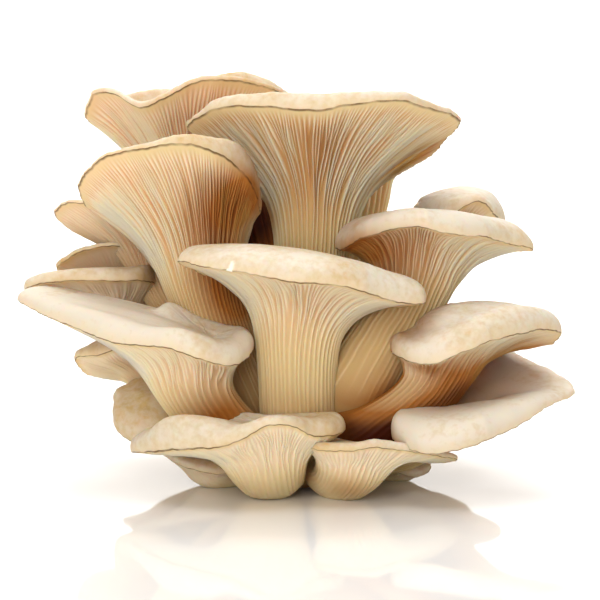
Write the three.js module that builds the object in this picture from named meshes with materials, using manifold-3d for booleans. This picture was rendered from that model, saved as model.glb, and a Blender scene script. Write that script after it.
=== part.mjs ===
// A cluster of oyster mushrooms as it comes off its growing block.
// Every fruit body is one closed solid: a stem, the cap that flares out of it like a shell, and the
// gills that run from the cap's edge down onto the stem. The bodies spring from one lumpy cut base.
// Units are millimetres. X is right, Y is away from the viewer, Z is up, and the floor is at Z = 0.

import * as THREE from "three";
import Module from "manifold-3d";
import { mergeVertices } from "three/addons/utils/BufferGeometryUtils.js";

const wasm = await Module();
wasm.setup();

// Driving dimensions

const GAP = 0.3; // clearance left where one body is cut by its neighbour
const GILL_DEPTH = 1.3; // larger than life, as is the gills' spacing
const GILL_SPACING = { near: 9.6, hidden: 13 }; // along the cap's edge, in front and at the back
const FEWEST_GILLS = 10;
const EVENNESS = 0.35; // 0 keeps gills radial, 1 spreads them evenly round the stem
const STEM_RISE = 0.36; // share of a meridian's span that still follows the stem
const CAP_REACH = 0.42; // share of a meridian's span that already follows the cap
const NECK_SHARE = 0.72; // the stem stays within this share of the edge's distance from the cap's axis
const NECK_TURN = 0.6; // how far the stem's end turns from its own line to the cap's axis
const THINNING = 0.4; // share of the margin's height lost at the farthest lobe
const MARGIN_SHARE = { height: 0.62, width: 0.75 }; // most of a margin, as shares of the distance to the axis
const BLEND = 3; // rounding between the funnel's wall and its floor
const LIP = 0.9; // how far the rounded margin stands proud of the edge
const AZIMUTH_SAMPLES = 180;
const TOLERANCE = 0.14; // how far a cut body's skin may move when its slivers are merged

// Rings of vertices, outwards from the neck (0) to the cap's edge (1) and upwards from the foot (0) to
// the neck (1); over the top from the edge (0) by the margin's inner side (1) to the middle (2).
// The first number is the place, the second the vertices for each gill at the edge.
const STEM_RINGS = [[0, 0.5], [0.42, 1], [0.82, 1]];
const UNDER_RINGS = [[0.09, 1], [0.32, 1], [0.56, 1], [0.78, 2], [0.95, 2]];
const TOP_RINGS = [[0.3, 1], [0.64, 1], [1, 1], [1.5, 0.5]];
const PROFILE_STEPS = 20; // places at which a meridian is laid with flesh

const FLESH = { color: 0xe6d3b4, roughness: 0.6 };
const CUT_FLESH = { color: 0xdcc39c, roughness: 0.75 };

const BASE = {
  centre: [0, 12],
  radius: 27,
  height: 33,
  footRadius: 22,
  bulge: 0.07,
  columns: 22,
  rings: 6,
};

// Each body: stem is its line from foot by bend to neck, and footSize and neckSize are its half widths
// across X and Y. rim is the cap's edge, counter-clockwise seen from above, starting at the right.
// thick and round are the height and width of the rounded margin, core is the flesh over the neck,
// dome raises (or, below zero, sinks) the middle of the top, and flare turns the underside level at
// the edge (1) or leaves it slanting (0). fullness holds shares of thick at the rim's points.
const BODIES = [
  {
    name: "mushroom_front_centre",
    stem: [[2, -12, 8], [0.5, -31, 22], [0, -31, 46]],
    footSize: [12, 9],
    neckSize: [12.3, 10],
    thick: 11.5,
    round: 13,
    core: 25,
    dome: 4,
    flare: 1,
    rim: [
      [39.5, -42, 62], [34, -30, 59.5], [17, -17, 60], [-4, -14, 63], [-22, -18, 67], [-34, -29, 72],
      [-36, -42, 75], [-29, -52, 74], [-20, -58, 73], [1, -63, 70], [15, -61, 68.3], [32, -50, 63],
    ],
  },
  {
    name: "mushroom_top_centre",
    stem: [[3, 6, 12], [4, 4, 44], [5.6, 3, 76]],
    footSize: [12, 10],
    neckSize: [12.3, 10.5],
    thick: 13,
    round: 10,
    core: 16,
    dome: -2,
    flare: 0.5,
    fullness: [0.5, 0.6, 1, 1, 1, 1, 0.8, 0.5, 0.3, 0.8, 1, 0.8, 0.55],
    rim: [
      [52.5, -2, 117], [49.5, 12, 111], [43, 24, 104], [30, 32, 97.5], [10, 33, 96], [-8, 27, 99],
      [-22, 16, 106], [-33, 3, 113], [-34, -10, 117], [-22, -26, 122], [8, -33, 121.5], [32, -28, 124],
      [46, -15, 120.5],
    ],
  },
  {
    name: "mushroom_left_upper",
    stem: [[-6, -4, 10], [-17, -14, 34], [-27, -14, 58]],
    footSize: [11, 9],
    neckSize: [13, 10],
    thick: 9,
    round: 9,
    core: 15,
    dome: -2,
    flare: 0.4,
    fullness: [1.3, 1, 1, 1, 0.8, 0.5, 0.4, 0.4, 0.5, 0.7, 1, 1.3],
    rim: [
      [-11.4, -14, 90], [-14, -2, 87], [-24, 7, 90], [-38, 12, 92], [-54, 9, 91], [-65.5, -3, 88.5],
      [-68.7, -18, 97], [-64.7, -28, 102.4], [-57.3, -34, 107.2], [-44.7, -39, 110.2],
      [-32.3, -41, 110.8], [-17.3, -32, 102.6],
    ],
  },
  {
    name: "mushroom_right_upper",
    stem: [[9, -10, 16], [18, -30, 38], [36, -15, 60]],
    footSize: [15, 12],
    neckSize: [11.5, 10],
    thick: 8,
    round: 10,
    core: 24,
    dome: 4,
    flare: 1,
    rim: [
      [76, -10, 76.3], [70, -2, 75.4], [62, 6, 74.3], [50, 12, 76], [36, 12, 78], [22, 6, 78],
      [13, -6, 77], [14.6, -18, 77], [20.7, -27, 81], [37, -38, 85], [48, -36, 83], [59, -28, 81.6],
      [67, -20, 78.6],
    ],
  },
  {
    name: "mushroom_left_middle",
    stem: [[-6, -10, 8], [-17, -27, 14], [-31, -31, 32]],
    footSize: [9, 8],
    neckSize: [13.5, 9],
    thick: 9.5,
    round: 14,
    core: 15,
    dome: 7,
    flare: 0.6,
    rim: [
      [-13.5, -36, 46], [-15, -28, 47], [-24, -20, 48.5], [-36, -18, 50.5], [-54, -14, 53],
      [-72, -8, 58.5], [-84, -7, 62], [-88.8, -12, 60.5], [-79.8, -24, 57], [-65, -37, 53],
      [-55.4, -44, 49.7], [-40, -51, 49], [-28.7, -52, 45.7], [-18.6, -46, 43.5],
    ],
  },
  {
    name: "mushroom_right_middle",
    stem: [[7, -14, 17], [24, -31, 19], [42, -28, 34]],
    footSize: [14, 12],
    neckSize: [11.5, 10],
    thick: 9,
    round: 14,
    core: 9,
    dome: 17,
    flare: 1,
    fullness: [1.9, 2.1, 1.9, 1.5, 1.1, 1, 1, 1, 1, 1, 1, 1, 1.1, 1.5],
    rim: [
      [84, -20, 50.7], [82.5, -12, 46.2], [75.6, -4, 45.2], [65.5, 3, 44.6], [52, 5, 45], [41, 1, 46],
      [34, -9, 46], [30.5, -22, 45.5], [29.5, -33, 45.5], [33, -43, 45], [41, -50, 44.2],
      [53.6, -51, 48.9], [66, -43, 52], [79, -28, 52.4],
    ],
  },
  {
    name: "mushroom_right_lower",
    stem: [[10, -3, 10], [32, -7, 9], [49, -19, 20]],
    footSize: [9, 6],
    neckSize: [8.5, 7],
    thick: 5,
    round: 9,
    core: 7,
    dome: -1,
    flare: 0.7,
    fullness: [1, 1, 1, 1, 1, 1, 1, 1.2, 1.5, 1.6, 1.9, 2.3, 1.7, 1.2],
    rim: [
      [88, -22, 31.8], [83, -8, 35.6], [76, 2, 38.3], [66, 9, 43.4], [57, 6, 40], [50, -2, 34.5],
      [43, -13, 29.5], [38, -26, 25.5], [33, -35, 22.5], [30, -42, 20], [38.4, -54, 17.5],
      [51.5, -57, 19.5], [65.5, -49, 23.5], [76, -39, 28.7],
    ],
  },
  {
    name: "mushroom_bottom_left",
    stem: [[-4, -12, 9], [-8, -33, 2], [-9, -43, 11]],
    footSize: [8, 6],
    neckSize: [12.5, 9],
    thick: 9.5,
    round: 10,
    core: 10,
    dome: 3,
    flare: 0.3,
    fullness: [0.85, 0.7, 0.6, 0.7, 1, 1.2, 1.2, 1.7, 1.3, 0.8, 0.5, 0.5, 0.85, 0.85],
    rim: [
      [15.2, -42, 23.5], [6, -37, 23.5], [-6, -35, 23], [-20, -33, 22], [-34, -31, 18], [-45, -30, 16],
      [-51, -34, 14.5], [-42, -48, 17], [-31.4, -56, 18.7], [-20, -61, 20.5], [-9.2, -62, 27],
      [-2, -61, 27], [6.8, -54, 22.4], [13, -48, 22],
    ],
  },
  {
    name: "mushroom_bottom_right",
    stem: [[6, -12, 9], [14, -32, 2], [17, -41, 9.5]],
    footSize: [7, 6],
    neckSize: [11, 9],
    thick: 3.5,
    round: 7,
    core: 7,
    dome: 1,
    flare: 0.3,
    rim: [
      [50, -36, 13], [46, -28, 10.5], [38, -26, 11.5], [28, -26, 14], [16, -29, 16.5], [5, -34, 18.5],
      [2, -45, 18.8], [6.2, -52, 18.1], [16.4, -58, 19], [24, -56, 19.5], [32.7, -51, 17.5],
      [44, -44, 14.8],
    ],
  },
  {
    name: "mushroom_left_upper_side",
    stem: [[-8, 8, 16], [-26, 8, 32], [-44, 8, 62]],
    footSize: [8, 8],
    neckSize: [8, 7.5],
    thick: 4,
    round: 8,
    core: 11,
    dome: -1,
    flare: 0.4,
    rim: [
      [-30, 17, 78], [-36, 26, 76], [-47, 31, 74], [-60, 31, 74.2], [-70, 25, 78.2], [-76, 18, 82],
      [-79.5, 10, 86.7], [-75.8, 4, 90.2], [-68.5, 0, 90.5], [-57, 0, 86], [-45, 4, 82.5], [-36, 9, 80],
    ],
  },
  {
    name: "mushroom_top_left",
    stem: [[-4, 16, 12], [-18, 26, 46], [-32, 25, 82]],
    footSize: [11, 9],
    neckSize: [11, 10],
    thick: 4,
    round: 6,
    core: 14,
    dome: -2,
    flare: 0.35,
    rim: [
      [-5, 10, 126.5], [-5, 24, 124], [-14, 37, 125], [-30, 43, 122], [-46, 41, 125], [-57.5, 37, 123],
      [-66, 28, 116.5], [-69, 15, 118], [-65.3, 8, 126], [-59, 3, 126], [-50, -2, 121.5],
      [-42, -5, 124.7], [-31, -6, 130], [-18, -4, 130],
    ],
  },
  {
    name: "mushroom_top_back",
    stem: [[-2, 24, 14], [-4, 38, 50], [-18, 47, 86]],
    footSize: [9, 8],
    neckSize: [10, 9],
    thick: 8,
    round: 8,
    core: 12,
    dome: 0,
    flare: 0.4,
    hidden: true,
    rim: [
      [1, 62, 118], [-4, 72, 113], [-17, 79, 111], [-34, 77, 114], [-47, 66, 120], [-51, 54, 123.5],
      [-43, 48, 124.5], [-31, 46, 127], [-18, 47, 129], [-6, 51, 124.5],
    ],
  },
  {
    name: "mushroom_right_back_upper",
    stem: [[8, 8, 14], [30, 18, 38], [44, 23, 62]],
    footSize: [8, 8],
    neckSize: [7.5, 7],
    thick: 7,
    round: 8,
    core: 22.5,
    dome: 10,
    flare: 0.5,
    hidden: true,
    rim: [
      [66, 16, 86], [69.5, 28, 83], [66, 41, 81], [54, 47, 81], [44, 42, 82], [40, 29, 82], [43, 15, 82],
      [50, 6, 86], [59, 5, 91],
    ],
  },
  {
    name: "mushroom_behind_top",
    stem: [[5, 22, 14], [13, 40, 48], [22, 48, 84]],
    footSize: [9, 8],
    neckSize: [8.5, 8],
    thick: 5.5,
    round: 8,
    core: 11,
    dome: 0,
    flare: 0.4,
    hidden: true,
    rim: [
      [40, 54, 106], [40, 66, 102], [30, 76, 98], [16, 78, 98], [9, 70, 101], [6, 58, 106],
      [12, 49, 109], [24, 44, 110], [35, 46, 109],
    ],
  },
  {
    name: "mushroom_bottom_left_back",
    stem: [[-8, 0, 12], [-15, -8, 5.5], [-24, -11, 4.5]],
    footSize: [7, 5],
    neckSize: [9, 6.5],
    thick: 3.5,
    round: 6,
    core: 6,
    dome: 1,
    flare: 0.4,
    rim: [
      [-15, -9, 14], [-18, 0, 14], [-26, 3, 14], [-37, 0, 13.5], [-43.5, -6, 13], [-43, -14, 11.3],
      [-36, -20, 8.3], [-27, -24, 6.5], [-18, -22, 7],
    ],
  },
  {
    name: "mushroom_left_lower",
    stem: [[-12, 10, 16], [-28, 14, 21], [-46, 9, 32]],
    footSize: [7, 7],
    neckSize: [7.5, 7],
    thick: 5.5,
    round: 7,
    core: 9,
    dome: 2,
    flare: 0.4,
    rim: [
      [-33, 1, 44], [-36, 9, 41], [-46, 13, 36], [-56, 13, 33.2], [-65, 10, 33], [-70.4, 5, 36.3],
      [-71.6, 0, 40.6], [-64, -8, 42.5], [-56, -12, 45], [-42, -9, 46],
    ],
  },
  {
    name: "mushroom_left_low",
    stem: [[-12, -2, 12], [-28, -5, 12], [-45, -3, 18]],
    footSize: [6, 6],
    neckSize: [7, 6],
    thick: 8,
    round: 8,
    core: 8,
    dome: 4,
    flare: 0.5,
    rim: [
      [-33, 2, 28], [-41, 11, 29], [-52, 12, 28.5], [-58, 5, 27], [-58.8, -3, 23], [-57, -10, 17.5],
      [-51, -14.5, 14.5], [-41, -14, 16], [-34, -8, 23],
    ],
  },
  {
    name: "mushroom_left_middle_back",
    stem: [[-10, 20, 16], [-32, 30, 28], [-57, 18, 48]],
    footSize: [9, 8],
    neckSize: [10, 9],
    thick: 8.5,
    round: 8,
    core: 10,
    dome: 0,
    flare: 0.5,
    hidden: true,
    rim: [
      [-45, 6, 64], [-45, 18, 62], [-54, 27, 60], [-66, 28, 60], [-79, 20, 60], [-88, 6, 61.5],
      [-86.2, -5, 64], [-74, -12, 66.6], [-60, -14, 66.8], [-49, -8, 66],
    ],
  },
  {
    name: "mushroom_left_back",
    stem: [[-6, 22, 16], [-28, 44, 34], [-54, 34, 52]],
    footSize: [8, 8],
    neckSize: [9, 8],
    thick: 4.5,
    round: 8,
    core: 8,
    dome: 0,
    flare: 0.5,
    hidden: true,
    rim: [
      [-43, 16, 74], [-41, 30, 72], [-49, 42, 69], [-62, 47, 67], [-73, 40, 66], [-79, 28, 66],
      [-78, 15, 69.4], [-70, 7, 74.3], [-56, 5, 77],
    ],
  },
  {
    name: "mushroom_right_low_small",
    stem: [[12, 4, 9], [22, 2, 3.5], [33, 2, 2]],
    footSize: [4, 3],
    neckSize: [4, 3],
    thick: 2.4,
    round: 4,
    core: 4,
    dome: 0.5,
    flare: 0.4,
    rim: [
      [43.5, 2, 4], [40, 8, 6.5], [33, 10, 8], [27, 6, 9], [25, 0, 8.5], [30, -6, 5.5], [38, -5, 2.5],
    ],
  },
  {
    name: "mushroom_right_back_middle",
    stem: [[8, 14, 16], [32, 26, 22], [50, 32, 34]],
    footSize: [8, 8],
    neckSize: [9, 8.5],
    thick: 6,
    round: 9,
    core: 11,
    dome: 2,
    flare: 0.5,
    hidden: true,
    rim: [
      [74, 30, 45], [72, 44, 44], [60, 55, 44], [48, 56, 46], [39, 48, 48], [38, 36, 50], [44, 25, 51],
      [53, 17, 51], [65, 18, 48],
    ],
  },
  {
    name: "mushroom_back_middle",
    stem: [[4, 26, 16], [9, 50, 22], [10, 62, 44]],
    footSize: [10, 8],
    neckSize: [12, 9.5],
    thick: 6,
    round: 9,
    core: 12,
    dome: 0,
    flare: 0.5,
    hidden: true,
    rim: [
      [36, 62, 66], [32, 73, 64], [18, 79, 61], [0, 80, 61], [-15, 75, 63], [-23, 65, 66], [-17, 58, 68],
      [-4, 55, 69], [12, 55, 69], [27, 56, 68],
    ],
  },
  {
    name: "mushroom_back_left",
    stem: [[-8, 22, 12], [-24, 42, 16], [-40, 52, 32]],
    footSize: [9, 8],
    neckSize: [10, 9],
    thick: 6,
    round: 9,
    core: 11,
    dome: 1,
    flare: 0.5,
    hidden: true,
    rim: [
      [-20, 50, 48], [-22, 64, 45], [-36, 74, 43], [-54, 72, 43], [-67, 61, 45], [-71, 48, 48],
      [-63, 40, 51], [-50, 37, 52], [-33, 40, 51],
    ],
  },
  {
    name: "mushroom_back_right_low",
    stem: [[6, 22, 12], [20, 42, 10], [30, 48, 18]],
    footSize: [9, 8],
    neckSize: [10, 9],
    thick: 6,
    round: 9,
    core: 9,
    dome: 1,
    flare: 0.4,
    hidden: true,
    rim: [
      [58, 48, 28], [54, 61, 25], [42, 71, 24], [26, 73, 24], [14, 65, 26], [10, 52, 29], [18, 42, 32],
      [34, 37, 33], [50, 39, 31],
    ],
  },
  {
    name: "mushroom_back_left_low",
    stem: [[-4, 24, 12], [-12, 44, 9], [-18, 50, 16]],
    footSize: [9, 8],
    neckSize: [11, 9],
    thick: 5.5,
    round: 9,
    core: 9,
    dome: 1,
    flare: 0.4,
    hidden: true,
    rim: [
      [4, 54, 24], [-2, 66, 21], [-16, 74, 20], [-32, 72, 20], [-44, 62, 22], [-48, 48, 25],
      [-38, 39, 28], [-22, 37, 29], [-6, 42, 28],
    ],
  },
  {
    name: "mushroom_right_low",
    stem: [[12, 8, 11], [30, 12, 8], [47, 15, 11]],
    footSize: [7, 6],
    neckSize: [7.5, 7],
    thick: 4.5,
    round: 7,
    core: 7,
    dome: 1,
    flare: 0.5,
    hidden: true,
    rim: [
      [68, 15, 20.5], [66, 25, 18.5], [58, 31, 17], [47, 30, 18], [38, 24, 20], [36, 14, 22],
      [42, 5, 22.5], [54, 3, 22], [63, 7, 21],
    ],
  },
  {
    name: "mushroom_left_back_low",
    stem: [[-10, 14, 11], [-26, 22, 10], [-38, 25, 14]],
    footSize: [7, 6],
    neckSize: [7.5, 7],
    thick: 4,
    round: 7,
    core: 6,
    dome: 1,
    flare: 0.5,
    hidden: true,
    rim: [
      [-26, 20, 25], [-28, 31, 24], [-37, 37, 22], [-48, 36, 20], [-56, 29, 18], [-58, 20, 17.5],
      [-52, 13, 20], [-42, 11, 23], [-33, 13, 25],
    ],
  },
];

const Z_AXIS = new THREE.Vector3(0, 0, 1);

const vector = (p) => new THREE.Vector3(p[0], p[1], p[2]);
const smoothStep = (t) => THREE.MathUtils.smoothstep(t, 0, 1);
const smoothMax = (a, b) => 0.5 * (a + b + Math.hypot(a - b, BLEND));

// One body's surfaces. w runs once round the cap's edge, by its length.
class FruitBody {
  constructor(spec) {
    this.spec = spec;
    this.stem = new THREE.QuadraticBezierCurve3(...spec.stem.map(vector));
    this.neck = this.stem.v2;
    this.rim = new THREE.CatmullRomCurve3(spec.rim.map(vector), true, "centripetal");
    this.rim.arcLengthDivisions = 3 * AZIMUTH_SAMPLES;
    this.radius = this.rim.getLength() / (2 * Math.PI);
    this.up = this.rimNormal();
    const level = new THREE.Quaternion().setFromUnitVectors(Z_AXIS, this.up);
    this.across = new THREE.Vector3(1, 0, 0).applyQuaternion(level);
    this.away = new THREE.Vector3(0, 1, 0).applyQuaternion(level);
    this.bearings = this.rimBearings();
    this.azimuths = this.stemAzimuths();
    this.middle = this.spoke(this.rimMiddle());
    this.reach = this.rimReach();
    this.gills = this.gillCount();
    this.gillDepth = Math.min(GILL_DEPTH, 0.25 * spec.thick);
  }

  gillCount() {
    const spacing = this.spec.hidden ? GILL_SPACING.hidden : GILL_SPACING.near;
    return Math.max(FEWEST_GILLS, 2 * Math.round(this.rim.getLength() / spacing / 2));
  }

  // The cap's own axis: the normal of the area that its edge encloses.
  rimNormal() {
    const sum = new THREE.Vector3();
    const points = this.rim.getSpacedPoints(AZIMUTH_SAMPLES);
    points.slice(1).forEach((p, i) => {
      const spoke = points[i].clone().sub(this.neck);
      sum.add(spoke.cross(p.clone().sub(this.neck)));
    });
    return sum.normalize();
  }

  rimMiddle() {
    const points = this.rim.getSpacedPoints(AZIMUTH_SAMPLES).slice(1);
    return points.reduce((sum, p) => sum.add(p), new THREE.Vector3()).divideScalar(points.length);
  }

  // The edge's mean and greatest distance from the cap's axis.
  rimReach() {
    const reaches = this.rim.getSpacedPoints(AZIMUTH_SAMPLES).map((p) => this.spoke(p).length());
    return { mean: reaches.reduce((sum, r) => sum + r, 0) / reaches.length, most: Math.max(...reaches) };
  }

  // The share of the margin's height at w, turned smoothly from each point of the rim to the next.
  full(w) {
    const { fullness, rim } = this.spec;
    if (!fullness) return 1;
    const place = this.rim.getUtoTmapping(((w % 1) + 1) % 1) * rim.length;
    const cell = Math.floor(place);
    const [low, high] = [fullness[cell % rim.length], fullness[(cell + 1) % rim.length]];
    return THREE.MathUtils.lerp(low, high, smoothStep(place - cell));
  }

  // The margin's height and width at w: thinner towards the farthest lobe, and small where the edge
  // comes close to the axis.
  margin(w) {
    const reach = this.spoke(this.edge(w)).length();
    const far = (reach - this.reach.mean) / (this.reach.most - this.reach.mean);
    const height = this.spec.thick * (1 - THINNING * smoothStep(far)) * this.full(w);
    return {
      height: Math.min(height, MARGIN_SHARE.height * reach),
      width: Math.min(this.spec.round, MARGIN_SHARE.width * reach),
    };
  }

  // The stem's direction at q, turned at its end towards the cap's axis.
  stemAxis(q) {
    return this.stem.getTangent(q).lerp(this.up, NECK_TURN * smoothStep(q)).normalize();
  }

  // Bearings of the edge from the cap's axis, in the cap's plane. They rise by a full turn.
  rimBearings() {
    const bearings = [];
    for (let i = 0; i <= AZIMUTH_SAMPLES; i++) {
      const spoke = this.rim.getPointAt(i / AZIMUTH_SAMPLES).sub(this.neck);
      const bearing = Math.atan2(spoke.dot(this.away), spoke.dot(this.across));
      const turns = i ? Math.round((bearing - bearings[i - 1]) / (2 * Math.PI)) : 0;
      bearings.push(bearing - 2 * Math.PI * turns);
    }
    return bearings;
  }

  // The direction on the stem from which each meridian starts: the edge's bearing, eased towards an
  // even spread.
  stemAzimuths() {
    const even = this.bearings.map((_, i) => (2 * Math.PI * i) / AZIMUTH_SAMPLES);
    const offset = this.bearings.reduce((sum, b, i) => sum + b - even[i], 0) / even.length;
    return this.bearings.map((b, i) => b + EVENNESS * (even[i] + offset - b));
  }

  // The angle at w, from a table of angles round the edge.
  angle(table, w) {
    const turns = Math.floor(w);
    const x = (w - turns) * AZIMUTH_SAMPLES;
    const i = Math.min(Math.floor(x), AZIMUTH_SAMPLES - 1);
    return table[i] + (table[i + 1] - table[i]) * (x - i) + 2 * Math.PI * turns;
  }

  edge(w) {
    return this.rim.getPointAt(((w % 1) + 1) % 1);
  }

  // What is left of a point's offset from the cap's axis when its height is taken off.
  spoke(point) {
    const from = point.clone().sub(this.neck);
    return from.addScaledVector(this.up, -from.dot(this.up));
  }

  // A point on the stem's skin, q from foot (0) to neck (1): an ellipse carried along the stem's line,
  // drawn in where the cap's edge comes close.
  stemPoint(w, q) {
    const { footSize, neckSize } = this.spec;
    const angle = this.angle(this.azimuths, w);
    const wide = THREE.MathUtils.lerp(footSize[0], neckSize[0], q);
    const deep = THREE.MathUtils.lerp(footSize[1], neckSize[1], q);
    const ring = new THREE.Vector3(wide * Math.cos(angle), deep * Math.sin(angle), 0);
    const room = NECK_SHARE * this.spoke(this.edge(w)).length();
    const drawn = Math.min(1, room / ring.length());
    ring.multiplyScalar(THREE.MathUtils.lerp(1, drawn, smoothStep(q)));
    const turn = new THREE.Quaternion().setFromUnitVectors(Z_AXIS, this.stemAxis(q));
    return ring.applyQuaternion(turn).add(this.stem.getPoint(q));
  }

  // A point on the underside, s from neck (0) to edge (1): a cubic that leaves along the stem and
  // arrives turned towards the plane of the cap.
  underPoint(w, s) {
    const start = this.stemPoint(w, 1);
    const end = this.edge(w);
    const chord = end.clone().sub(start);
    const span = chord.length();
    const arrival = chord.normalize().lerp(this.spoke(end).normalize(), this.spec.flare).normalize();
    const curve = new THREE.CubicBezierCurve3(
      start,
      start.clone().addScaledVector(this.stemAxis(1), STEM_RISE * span),
      end.clone().addScaledVector(arrival, -CAP_REACH * span),
      end,
    );
    return curve.getPoint(s);
  }

  // The underside at w, as heights along the cap's axis and distances from it.
  profile(w) {
    return Array.from({ length: PROFILE_STEPS + 1 }, (_, i) => {
      const from = this.underPoint(w, i / PROFILE_STEPS).sub(this.neck);
      const height = from.dot(this.up);
      return { height, radius: from.addScaledVector(this.up, -height).length() };
    });
  }

  // A point on the top, u from the edge (0) by the margin's inner side (1) to the middle (2): flesh of
  // one thickness laid on the underside, rounded off at the margin, and filled over the stem by a
  // floor that is domed or dished.
  topPoint(w, u) {
    const profile = this.profile(w);
    const edge = profile.at(-1);
    const margin = this.margin(w);
    const turn = (Math.min(u, 1) * Math.PI) / 2;
    const radius = (edge.radius - margin.width * (1 - Math.cos(turn))) * (2 - Math.max(u, 1));
    const angle = THREE.MathUtils.lerp(
      this.angle(this.azimuths, w),
      this.angle(this.bearings, w),
      radius / edge.radius,
    );
    const out = this.across.clone().multiplyScalar(Math.cos(angle)).addScaledVector(this.away, Math.sin(angle));
    const point = this.neck.clone().addScaledVector(out, radius);
    const floor = this.floorHeight(point);
    const near = profile.filter((p) => Math.abs(p.radius - radius) < margin.height);
    const laid = near.map((p) => p.height + Math.sqrt(margin.height ** 2 - (p.radius - radius) ** 2));
    const full = smoothMax(Math.max(floor, ...laid), floor);
    const height = edge.height + (full - edge.height) * Math.sin(turn);
    const proud = u < 1 ? LIP * Math.sin(Math.PI * u) : 0;
    return point.addScaledVector(this.up, height).addScaledVector(out, proud);
  }

  // Height over the neck of the floor, which is domed or dished about the cap's middle.
  floorHeight(point) {
    const { core, dome } = this.spec;
    return core + dome * (1 - (this.spoke(point).distanceTo(this.middle) / this.radius) ** 2);
  }

  // Where the top's meridians meet.
  floorCentre() {
    const ring = this.ring((w, u) => this.topPoint(w, u), [2, 0.5]);
    return ring.reduce((sum, p) => sum.add(p), new THREE.Vector3()).divideScalar(ring.length);
  }

  // Outward normal of the gilled skin, by finite differences.
  skinNormal(place, w, s) {
    const step = 1e-3;
    const along = place(w + step, s).sub(place(w - step, s));
    const climb = place(w, Math.min(1, s + step)).sub(place(w, Math.max(0, s - step)));
    return along.cross(climb).normalize();
  }

  // A ring of points. With a depth, every second one is a valley between two gills.
  ring(place, [s, share], depth = 0) {
    const count = Math.round(share * this.gills);
    return Array.from({ length: count }, (_, i) => {
      const w = i / count;
      const point = place(w, s);
      return depth && i % 2 ? point.addScaledVector(this.skinNormal(place, w, s), -depth) : point;
    });
  }

  // Rings from the foot, up the stem and the gills, over the edge and in to the top's middle.
  rings(depth) {
    const stem = (w, q) => this.stemPoint(w, q);
    const under = (w, s) => this.underPoint(w, s);
    const top = (w, s) => this.topPoint(w, s);
    return [
      ...STEM_RINGS.map((row) => this.ring(stem, row, depth * smoothStep(row[0]))),
      ...UNDER_RINGS.map((row) => this.ring(under, row, depth)),
      this.ring(under, [1, 2]),
      ...TOP_RINGS.map((row) => this.ring(top, row)),
    ];
  }

  triangles(depth = this.gillDepth) {
    const rings = this.rings(depth);
    const faces = [];
    fan(faces, rings[0], this.stem.getPoint(0), true);
    rings.slice(1).forEach((ring, i) => band(faces, rings[i], ring));
    fan(faces, rings.at(-1), this.floorCentre(), false);
    return faces;
  }
}

// Triangles between two rings, where one may have twice as many points as the other.
function band(faces, lower, upper) {
  const count = Math.max(lower.length, upper.length);
  const at = (ring, i) => ring[Math.floor((i * ring.length) / count) % ring.length];
  const half = (ring, i) => ring[Math.floor(((i + 1) * ring.length) / count) % ring.length];
  for (let i = 0; i < count; i++) {
    const [a, b] = [at(lower, i), half(lower, i)];
    const [c, d] = [at(upper, i), half(upper, i)];
    if (a !== b) faces.push([a, b, d]);
    if (c !== d) faces.push([a, d, c]);
  }
}

function fan(faces, ring, centre, reversed) {
  ring.forEach((p, i) => {
    const q = ring[(i + 1) % ring.length];
    faces.push(reversed ? [q, p, centre] : [p, q, centre]);
  });
}

// The cut base: rings of a rounded lump on a flat foot, swollen where stems spring from it.
function baseTriangles() {
  const { centre, radius, height, footRadius, bulge, columns, rings } = BASE;
  const faces = [];
  const level = (k) => {
    const t = k / rings;
    const belly = footRadius + (radius - footRadius) * Math.sin(Math.PI * Math.min(1, t * 1.25));
    const dome = Math.sqrt(Math.max(0.04, 1 - t ** 4));
    return Array.from({ length: columns }, (_, i) => {
      const angle = (2 * Math.PI * i) / columns;
      const swell = 1 + bulge * Math.sin(5 * angle + 0.6) * t + bulge * Math.sin(3 * angle + 2) * t;
      const reach = belly * dome * swell;
      return new THREE.Vector3(
        centre[0] + 1.1 * reach * Math.cos(angle),
        centre[1] + reach * Math.sin(angle),
        height * t,
      );
    });
  };
  const levels = Array.from({ length: rings + 1 }, (_, k) => level(k));
  fan(faces, levels[0], new THREE.Vector3(centre[0], centre[1], 0), true);
  levels.slice(1).forEach((ring, k) => band(faces, levels[k], ring));
  fan(faces, levels.at(-1), new THREE.Vector3(centre[0], centre[1], height + 1), false);
  return faces;
}

function geometryOf(faces) {
  const positions = new Float32Array(faces.flat().flatMap((p) => [p.x, p.y, p.z]));
  const loose = new THREE.BufferGeometry();
  loose.setAttribute("position", new THREE.BufferAttribute(positions, 3));
  return mergeVertices(loose, 1e-4);
}

// The same closed mesh with its skin moved out by a distance.
function swollen(geometry, distance) {
  const grown = geometry.clone();
  grown.computeVertexNormals();
  const { position, normal } = grown.attributes;
  for (let i = 0; i < position.count; i++) {
    const p = new THREE.Vector3().fromBufferAttribute(position, i);
    p.addScaledVector(new THREE.Vector3().fromBufferAttribute(normal, i), distance);
    position.setXYZ(i, p.x, p.y, p.z);
  }
  grown.deleteAttribute("normal");
  return grown;
}

function solidOf(geometry) {
  return new wasm.Manifold(
    new wasm.Mesh({
      numProp: 3,
      vertProperties: geometry.attributes.position.array,
      triVerts: new Uint32Array(geometry.index.array),
    }),
  );
}

// The largest piece that a cut leaves.
function largest(solid) {
  return solid.decompose().reduce((best, piece) => (piece.volume() > best.volume() ? piece : best));
}

function geometryFrom(solid) {
  const mesh = solid.getMesh();
  const positions = new Float32Array(mesh.numVert * 3);
  for (let i = 0; i < mesh.numVert; i++) {
    positions.set(mesh.vertProperties.subarray(i * mesh.numProp, i * mesh.numProp + 3), i * 3);
  }
  const geometry = new THREE.BufferGeometry();
  geometry.setAttribute("position", new THREE.BufferAttribute(positions, 3));
  geometry.setIndex(new THREE.BufferAttribute(mesh.triVerts, 1));
  return geometry;
}

const cluster = new THREE.Group();

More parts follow.
